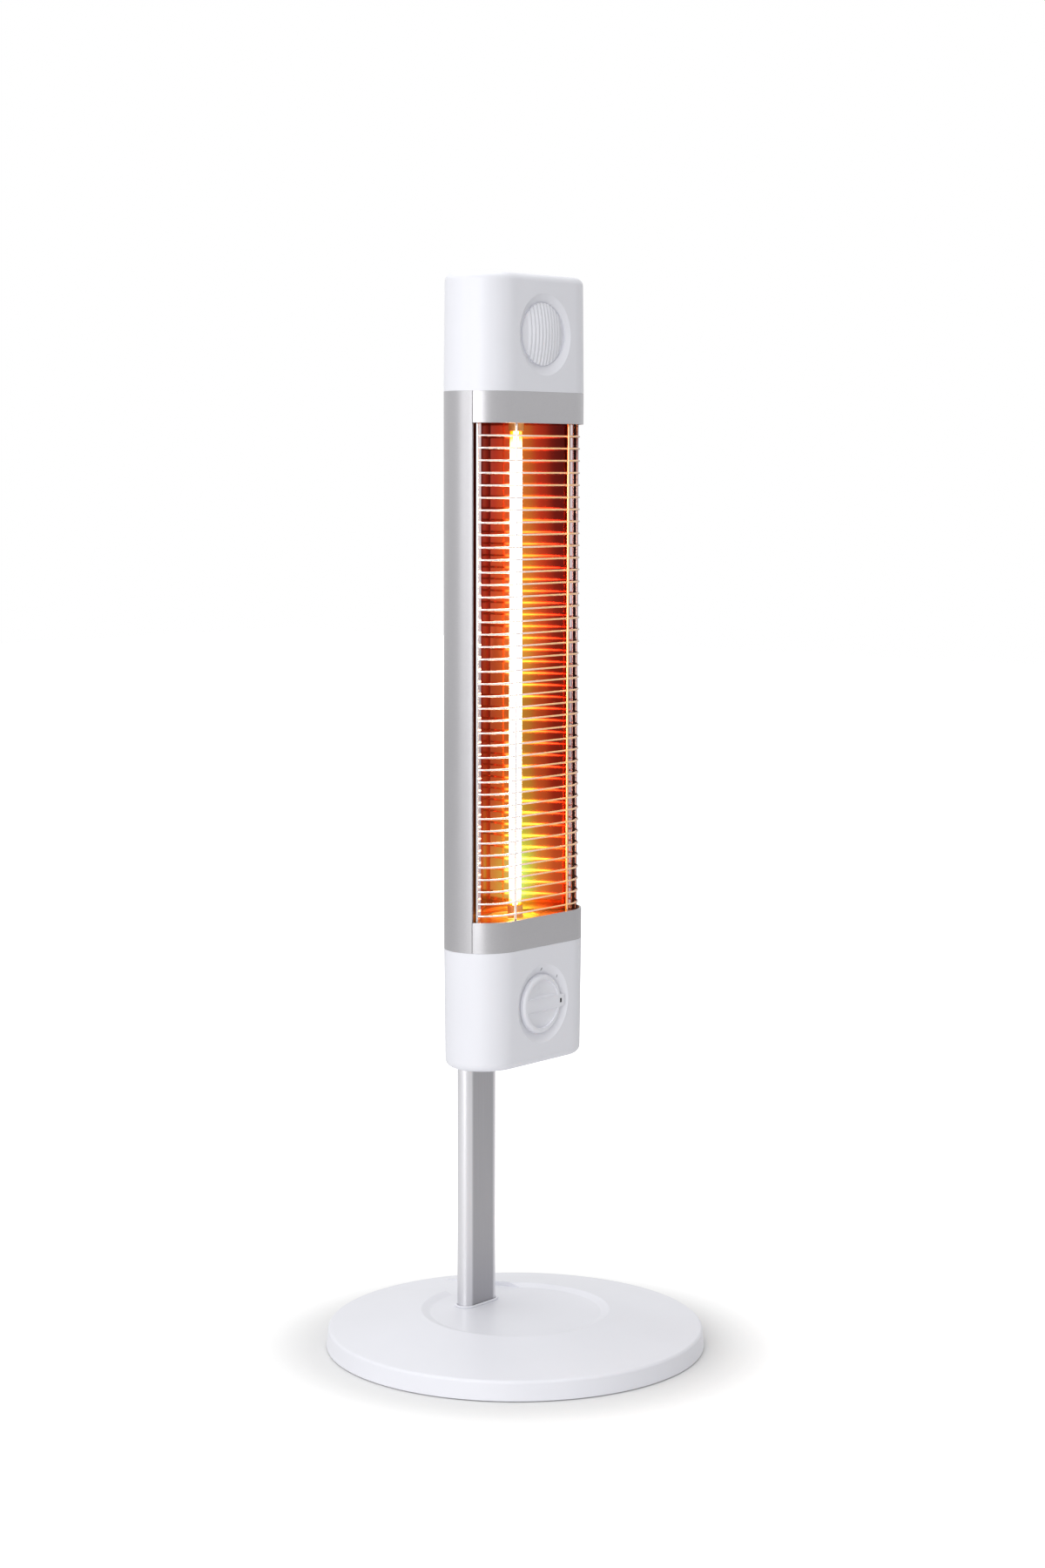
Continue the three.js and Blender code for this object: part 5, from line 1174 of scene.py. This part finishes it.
def end_plate(node, lamp_side):
    """An oval sheet with a pressed ring that stands up on the lamp's side."""
    low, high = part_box(node)
    piece = oval_solid(high.x - low.x, high.y - low.y, BODY_MIDDLE, low.z, high.z - low.z)
    sunk = RING_HEIGHT / 4
    ring_z = high.z - sunk if lamp_side > 0 else low.z - RING_HEIGHT
    ring = disc(RING_RADIUS, ring_z, RING_HEIGHT + sunk, y=LAMP_Y)
    combine(ring, disc(RING_RADIUS - RING_WIDTH, low.z - PUNCH, 2 * PUNCH, y=LAMP_Y), "DIFFERENCE")
    combine(piece, ring, "UNION")
    combine(piece, disc(LAMP_HOLE, low.z - PUNCH, 2 * PUNCH, y=LAMP_Y, steps=48), "DIFFERENCE")
    break_edges(piece, PLATE_EDGE, segments=3)
    hand_over(piece, "polished_" + node, "heater", "polished_aluminium", PLATE_FINISH, node)


end_plate("lower_end_plate", 1)
end_plate("upper_end_plate", -1)

# %% [markdown]
# ## The wire guard
# Forty chromed wires bend round the window, and four upright rods hold them. A wire
# is a small circle, spun round the first bend, pulled straight across, and spun
# round the second bend. It is modelled once and copied upwards.

# %% One wire
guard_low, guard_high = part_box("wire_guard")
WIRE_RADIUS = 0.85 * MM
ROD_RADIUS = 1.0 * MM
ROD_EDGE = 0.3 * MM
WIRE_PITCH = 10 * MM
WIRE_COUNT = 40
FIRST_WIRE = WINDOW_BOTTOM + 5 * MM
WIRE_INSET = 3.6 * MM
ROD_INSET = 2.9 * MM
ROD_X = 33.8 * MM
WIRE_END_Y = SEAM_Y - 2 * MM
FLAT_HALF = (BODY_WIDTH - BODY_DEPTH) / 2
BEND_RADIUS = BODY_DEPTH / 2 - WIRE_INSET
BEND_STEPS = 10


def one_wire():
    start = math.asin((BODY_MIDDLE - WIRE_END_Y) / BEND_RADIUS)
    sweep = math.pi / 2 - start
    pick()
    bpy.ops.mesh.primitive_circle_add(vertices=10, radius=WIRE_RADIUS, fill_type="NGON")
    piece = bpy.context.object
    place = Matrix.Translation((-FLAT_HALF - BEND_RADIUS * math.cos(start), WIRE_END_Y, FIRST_WIRE))
    piece.matrix_world = place @ Matrix.Rotation(start, 4, "Z") @ Matrix.Rotation(math.pi / 2, 4, "X")
    bpy.ops.object.transform_apply(location=True, rotation=True)
    edit(piece)
    bpy.ops.mesh.select_all(action="SELECT")
    bpy.ops.mesh.spin(steps=BEND_STEPS, angle=sweep, center=(-FLAT_HALF, BODY_MIDDLE, FIRST_WIRE),
                      axis=(0, 0, -1))
    bpy.ops.mesh.extrude_region_move(TRANSFORM_OT_translate={"value": (2 * FLAT_HALF, 0, 0)})
    bpy.ops.mesh.spin(steps=BEND_STEPS, angle=sweep, center=(FLAT_HALF, BODY_MIDDLE, FIRST_WIRE),
                      axis=(0, 0, -1))
    tidy_mesh()
    pick(piece)
    return piece


def upright_rod(x, y):
    rod = disc(ROD_RADIUS, guard_low.z, guard_high.z - guard_low.z, steps=14, x=x, y=y)
    break_edges(rod, ROD_EDGE, segments=2)
    return rod


# %% Copy the wires and add the rods
def wire_guard():
    first = one_wire()
    print("wire box", [round(v / MM, 2) for v in first.dimensions])
    wires = [first]
    for i in range(1, WIRE_COUNT):
        wires.append(copy_of(first))
        wires[-1].location.z = i * WIRE_PITCH
    end_x = FLAT_HALF + math.sqrt((BODY_DEPTH / 2 - ROD_INSET) ** 2 - (BODY_MIDDLE - WIRE_END_Y) ** 2)
    for x, y in [(-end_x, WIRE_END_Y), (-ROD_X, BODY_FRONT + ROD_INSET),
                 (ROD_X, BODY_FRONT + ROD_INSET), (end_x, WIRE_END_Y)]:
        wires.append(upright_rod(x, y))
    pick(*wires)
    bpy.ops.object.join()
    return wires[0]


# %% [markdown]
# The wires are chrome whose colour is painted lamp light: painted cool at the left and warm at the right.
# Their inner side faces the lamp and is far brighter than the room, which is why the trough mirrors them as
# bright lines. So only the faces that look inwards get a painted glow, and only on the straight part, up to
# the right rod.

# %% Chrome with painted lamp light
# painted lamp tint, from the left end of the window to its right end
PAINTED_LAMP_TINT_ACROSS = [(0.0, (0.80, 0.78, 0.80)), (0.30, (0.95, 0.86, 0.84)), (0.55, (0.95, 0.62, 0.32)),
                 (0.80, (0.92, 0.58, 0.34)), (0.90, (0.34, 0.24, 0.25))]
INNER_PAINTED_GLOW = (1.0, 0.78, 0.5, 1)
INNER_PAINTED_GLOW_STRENGTH = 5.0
INNER_FACING = (0.15, 0.75)
SPECK_SCALE = (900, 900, 900)
SPECKS = [(0.25, 0.88), (0.75, 1.0)]
PAINTED_GLOW_ENDS = (FLAT_HALF + 6 * MM, FLAT_HALF - 3 * MM)
FAR_ROD_PAINTED_SHADE = (ROD_X - 1.3 * MM, ROD_X - 5 * MM)


def painted_lamp_chrome():
    material, shader = new_finish("chrome_with_painted_lamp_light", (0.85, 0.8, 0.78), 0.16, 1.0)
    x = between(material, axis_value(material, "X"), -BODY_WIDTH / 2, BODY_WIDTH / 2)
    painted_tint = ramp(material, x, PAINTED_LAMP_TINT_ACROSS)
    mottled = gray_ramp(material, noise(material, SPECK_SCALE, detail=2), SPECKS)
    # painted lamp light: the base colour is tinted warm by place across the wires
    join(material, tinted(material, painted_tint, mottled), shader.inputs["Base Color"])
    facing = add(material, "ShaderNodeNewGeometry")
    split = add(material, "ShaderNodeSeparateXYZ")
    join(material, facing.outputs["Normal"], split.inputs["Vector"])
    # painted lamp light: a glow on faces that look inwards, fading at the bends, with painted shade past
    # the right rod
    inwards = between(material, split.outputs["Y"], *INNER_FACING)
    inwards = multiply(material, inwards, between(material, sideways(material), *PAINTED_GLOW_ENDS))
    far_rod_shade = between(material, axis_value(material, "X"), *FAR_ROD_PAINTED_SHADE)
    inwards = multiply(material, inwards, far_rod_shade)
    shader.inputs["Emission Color"].default_value = INNER_PAINTED_GLOW
    join(material, multiply(material, inwards, INNER_PAINTED_GLOW_STRENGTH), shader.inputs["Emission Strength"])
    return material


GUARD_FINISH = painted_lamp_chrome()
hand_over(wire_guard(), "chromed_guard", "heater", "chrome_wire", GUARD_FINISH, "wire_guard", smooth=40)

# %% [markdown]
# ## The lamp
# The lamp is a quartz tube with a carbon strip in it and a ceramic end on each side.
# When it is on, the strip is too bright to be seen as a strip: the whole tube reads
# as a white bar. So the quartz glows where the strip is hot, and stays clear glass
# near its cold ends.

# %% Quartz tube
tube_low, tube_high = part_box("lamp_tube")
TUBE_RADIUS = (tube_high.x - tube_low.x) / 2
QUARTZ_WALL = 1 * MM
LAMP_STEPS = 40


GLOW_FADE = 30 * MM
SWIRL_SCALE = (300, 300, 40)
SWIRL_STRENGTH = 0.1
SWIRL_DEPTH = 0.05 * MM
# from the cold end to the hot middle, and the same the other way round
LAMP_END_HEAT = [(0.0, (0, 0, 0)), (0.045, (0.35, 0.05, 0.0)), (0.085, (1.0, 0.62, 0.22)),
                 (0.11, (1.0, 0.86, 0.62))]
LAMP_HEAT = LAMP_END_HEAT + [(1 - place, color) for place, color in reversed(LAMP_END_HEAT)]


def hot_quartz():
    material, shader = new_finish("hot_quartz", (1.0, 0.93, 0.80), 0.06)
    set_inputs(shader, {"Transmission Weight": 1.0, "IOR": 1.46, "Emission Strength": 5.0})
    z = between(material, axis_value(material, "Z"), GLOW_LOW - GLOW_FADE, GLOW_HIGH + GLOW_FADE)
    join(material, ramp(material, z, LAMP_HEAT), shader.inputs["Emission Color"])
    bump(material, shader, noise(material, SWIRL_SCALE, detail=2), SWIRL_STRENGTH, SWIRL_DEPTH)
    return material


QUARTZ = hot_quartz()
tube = disc(TUBE_RADIUS, tube_low.z, tube_high.z - tube_low.z, steps=LAMP_STEPS, y=LAMP_Y)
make_tube(tube, QUARTZ_WALL)
hand_over(tube, "quartz_tube", "heater", "quartz_glass", QUARTZ, "lamp_tube")

# %% Ceramic ends
SOCKET_DEPTH = 7 * MM
SMALL_ROUND = 0.5 * MM

for node in ("lamp_end_lower", "lamp_end_upper"):
    low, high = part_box(node)
    end = disc((high.x - low.x) / 2, low.z, high.z - low.z, steps=LAMP_STEPS, y=LAMP_Y)
    open_z = high.z if node == "lamp_end_lower" else low.z
    socket = disc(TUBE_RADIUS + FIT, open_z - SOCKET_DEPTH, 2 * SOCKET_DEPTH, steps=LAMP_STEPS, y=LAMP_Y)
    combine(end, socket, "DIFFERENCE")
    break_edges(end, SMALL_ROUND, segments=3)
    hand_over(end, "ceramic_" + node, "heater", "ceramic", CERAMIC, node)

# %% [markdown]
# ## Fasteners, pads and the gland
# A pan head screw with a cross recess is modelled once and copied to each place,
# each copy with a mesh of its own.

# %% Screws at the back
SCREW_ROUND = 0.42
RECESS_REACH = 0.62
RECESS_WIDTH = 0.34
RECESS_FLOOR = 0.35


def pan_screw():
    """Made looking up, with its seat at z = 0. The shares above are of its head."""
    low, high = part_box("cap_screw_1")
    radius = (high.x - low.x) / 2
    head = high.y - BODY_BACK
    piece = disc(radius, 0, head, steps=40)
    edit(piece, "EDGE")
    choose("EDGE", lambda a, b: min(a.z, b.z) > head - NEAR)
    bpy.ops.mesh.bevel(offset=SCREW_ROUND * radius, segments=6, profile=0.62)
    pick(piece)
    combine(piece, disc(radius / 2, low.y - BODY_BACK, BODY_BACK - low.y + head / 2, steps=24), "UNION")
    across = (RECESS_WIDTH * radius / 2, RECESS_REACH * radius)
    for x, y in (across, across[::-1]):
        combine(piece, slab((-x, -y, head * RECESS_FLOOR), (x, y, 2 * head)), "DIFFERENCE")
    break_edges(piece, 0.08 * MM, segments=1, angle=50)
    return piece


model_screw = pan_screw()
screw_nodes = [f"cap_screw_{i}" for i in range(1, 5)] + [f"clamp_screw_{i}" for i in range(1, 5)]
for node in screw_nodes:
    low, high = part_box(node)
    screw = copy_of(model_screw)
    seat_y = high.y - (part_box("cap_screw_1")[1].y - BODY_BACK)
    stand(screw, (low.x + high.x) / 2, seat_y, (low.z + high.z) / 2, "BACK")
    hand_over(screw, "pan_" + node, "heater", "steel", STEEL, node)
bpy.data.objects.remove(model_screw)

# %% Saddles that hold the body on the pole
CLAMP_WALL = 3 * MM
for node in ("mounting_clamp_lower", "mounting_clamp_upper"):
    low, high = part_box(node)
    wider = 2 * (FIT + CLAMP_WALL)
    hug = oval_solid(POLE_WIDTH + wider, POLE_DEPTH + wider, POLE_Y, low.z, high.z - low.z)
    ears = slab((low.x, low.y, low.z), (high.x, low.y + CLAMP_WALL, high.z))
    combine(hug, ears, "UNION")
    combine(hug, slab((-1, -1, 0), (1, low.y, 1)), "DIFFERENCE")
    combine(hug, oval_solid(POLE_WIDTH + 2 * FIT, POLE_DEPTH + 2 * FIT, POLE_Y, low.z - MM,
                            high.z - low.z + 2 * MM), "DIFFERENCE")
    half = POLE_WIDTH / 2 + FIT
    combine(hug, slab((-half, low.y - MM, low.z - MM), (half, POLE_Y, high.z + MM)), "DIFFERENCE")
    break_edges(hug, SMALL_ROUND, segments=3)
    hand_over(hug, "saddle_" + node, "heater", "black_plastic", BLACK, node)

# %% Rubber pads and the cord's gland
for i in range(1, 5):
    node = f"base_foot_{i}"
    low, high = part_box(node)
    pad = disc((high.x - low.x) / 2, low.z, high.z - low.z, steps=48,
               x=(low.x + high.x) / 2, y=(low.y + high.y) / 2)
    break_edges(pad, SMALL_ROUND, segments=3)
    hand_over(pad, f"rubber_pad_{i}", "heater", "rubber", RUBBER, node)

GLAND_RADIUS = 5.4 * MM
GLAND_BORE = 3.6 * MM
GLAND_FLANGE = 7 * MM
FLANGE_START = 6.3 * MM
FLANGE_THICKNESS = 1.5 * MM
GLAND_STEPS = 48
gland_depth = gland_high.y - gland_low.y
gland = disc(GLAND_RADIUS, 0, gland_depth, steps=GLAND_STEPS)
combine(gland, disc(GLAND_FLANGE, FLANGE_START, FLANGE_THICKNESS, steps=GLAND_STEPS), "UNION")
combine(gland, disc(GLAND_BORE, -MM, gland_depth + 2 * MM, steps=GLAND_STEPS), "DIFFERENCE")
break_edges(gland, DIAL_EDGE, segments=3)
stand(gland, GLAND_X, gland_low.y, GLAND_Z, "BACK")
hand_over(gland, "gland", "heater", "black_plastic", BLACK, "cord_gland")

# %% [markdown]
# The pieces inside keep their solids, because nobody sees them from outside, but
# each still gets the finish of its own material.

# %% Finishes of the inner pieces
HOT_CARBON, carbon_shader = new_finish("hot_carbon", (0.03, 0.03, 0.03), 0.7)
carbon_shader.inputs["Emission Strength"].default_value = 6.0
weave = noise(HOT_CARBON, (900, 900, 300), detail=3)
join(HOT_CARBON, ramp(HOT_CARBON, weave, [(0.2, (1.0, 0.55, 0.2)), (0.8, (1.0, 0.72, 0.4))]),
     carbon_shader.inputs["Emission Color"])

INNER_PIECES = [
    (STEEL, """base_bottom_plate base_weight base_plate_screw_1 base_plate_screw_2 base_plate_screw_3
     pole_bolt_1 pole_bolt_2 lamp_clip_lower lamp_clip_upper switch_shaft switch_screw_1
     switch_screw_2 pendulum_pin thermal_cutout"""),
    (BLACK, "pole_socket terminal_block"), (POLE_FINISH, "pole_foot_insert"),
    (HOT_CARBON, "carbon_element"), (BAKELITE, "rotary_switch tip_switch_housing"),
    (BRASS, "tip_pendulum"), (SLEEVE, "lead_supply lead_switch lead_lamp_lower lead_lamp_upper"),
]
for finish, nodes in INNER_PIECES:
    for node in nodes.split():
        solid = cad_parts[node]
        solid.data.materials.clear()
        solid.data.materials.append(finish)
print("inner finishes:", len(INNER_PIECES))

# %% [markdown]
# ## Floor and light
# The floor is a plain pale sheet. Away from the foot it turns white for the eye,
# and a little lighter in mirrors, but near the foot it keeps the soft shadow. Tall
# soft lamps at the left make the round left end bright and leave the flat front a
# quiet grey. A lamp above and the world fill in evenly.

# %% Floor
FLOOR_SIZE = 16
FLOOR_ALBEDO = 0.80
NEAR_LIFT = 0.0
FAR_LIFT = 1.2
LIFT_START = 0.164
LIFT_END = 0.39
MIRROR_LIFT = 0.20


pick()
bpy.ops.mesh.primitive_plane_add(size=FLOOR_SIZE, location=(0, 0, 0))
floor = bpy.context.object
floor.name = "studio_floor"
FLOOR, floor_shader = new_finish("floor_paper", (FLOOR_ALBEDO,) * 3, 0.9)
set_inputs(floor_shader, {"Specular IOR Level": 0.0, "Emission Color": (1, 1, 1, 1)})
where = add(FLOOR, "ShaderNodeTexCoord")
away = add(FLOOR, "ShaderNodeVectorMath", operation="LENGTH")
join(FLOOR, where.outputs["Object"], away.inputs[0])
lift = spread_value(FLOOR, between(FLOOR, away.outputs["Value"], LIFT_START, LIFT_END), NEAR_LIFT, FAR_LIFT)
by_eye = multiply(FLOOR, ray_kind(FLOOR, "Is Camera Ray"), lift)
in_metal = multiply(FLOOR, ray_kind(FLOOR, "Is Glossy Ray", "Is Transmission Ray"), MIRROR_LIFT)
join(FLOOR, add_up(FLOOR, by_eye, in_metal), floor_shader.inputs["Emission Strength"])
floor.data.materials.append(FLOOR)

# %% World
WORLD_STRENGTH = 0.48
world = bpy.data.worlds.new("studio_air")
bpy.context.scene.world = world
world.use_nodes = True
sky = world.node_tree.nodes["Background"]
sky.inputs["Color"].default_value = (1, 1, 1, 1)
strength = add(world, "ShaderNodeMapRange")
set_inputs(strength, {"To Min": WORLD_STRENGTH, "To Max": 1.0})
direct = ray_kind(world, "Is Camera Ray", "Is Glossy Ray", "Is Transmission Ray")
join(world, direct, strength.inputs["Value"])
join(world, strength.outputs["Result"], sky.inputs["Strength"])

# %% Lamps
LAMP_TARGET = Vector((0, 0, 0.5))


def soft_lamp(name, place, width, height, power):
    pick()
    bpy.ops.object.light_add(type="AREA", location=place)
    lamp = bpy.context.object
    lamp.name = name
    lamp.data.shape = "RECTANGLE"
    lamp.data.size = width
    lamp.data.size_y = height
    lamp.data.energy = power
    aim = LAMP_TARGET - Vector(place)
    lamp.rotation_euler = aim.to_track_quat("-Z", "Y").to_euler()


soft_lamp("left_window", (-2.3, -0.87, 1.0), 1.5, 2.0, 27)
soft_lamp("back_left_panel", (-2.3, 0.75, 1.2), 1.1, 1.8, 8)
soft_lamp("ceiling", (0.1, 0.3, 2.7), 2.4, 2.4, 30)

# %% [markdown]
# ## Closing
# The number of dressed pieces is printed at the end.

# %% Count of pieces
print("pieces:", len(made))
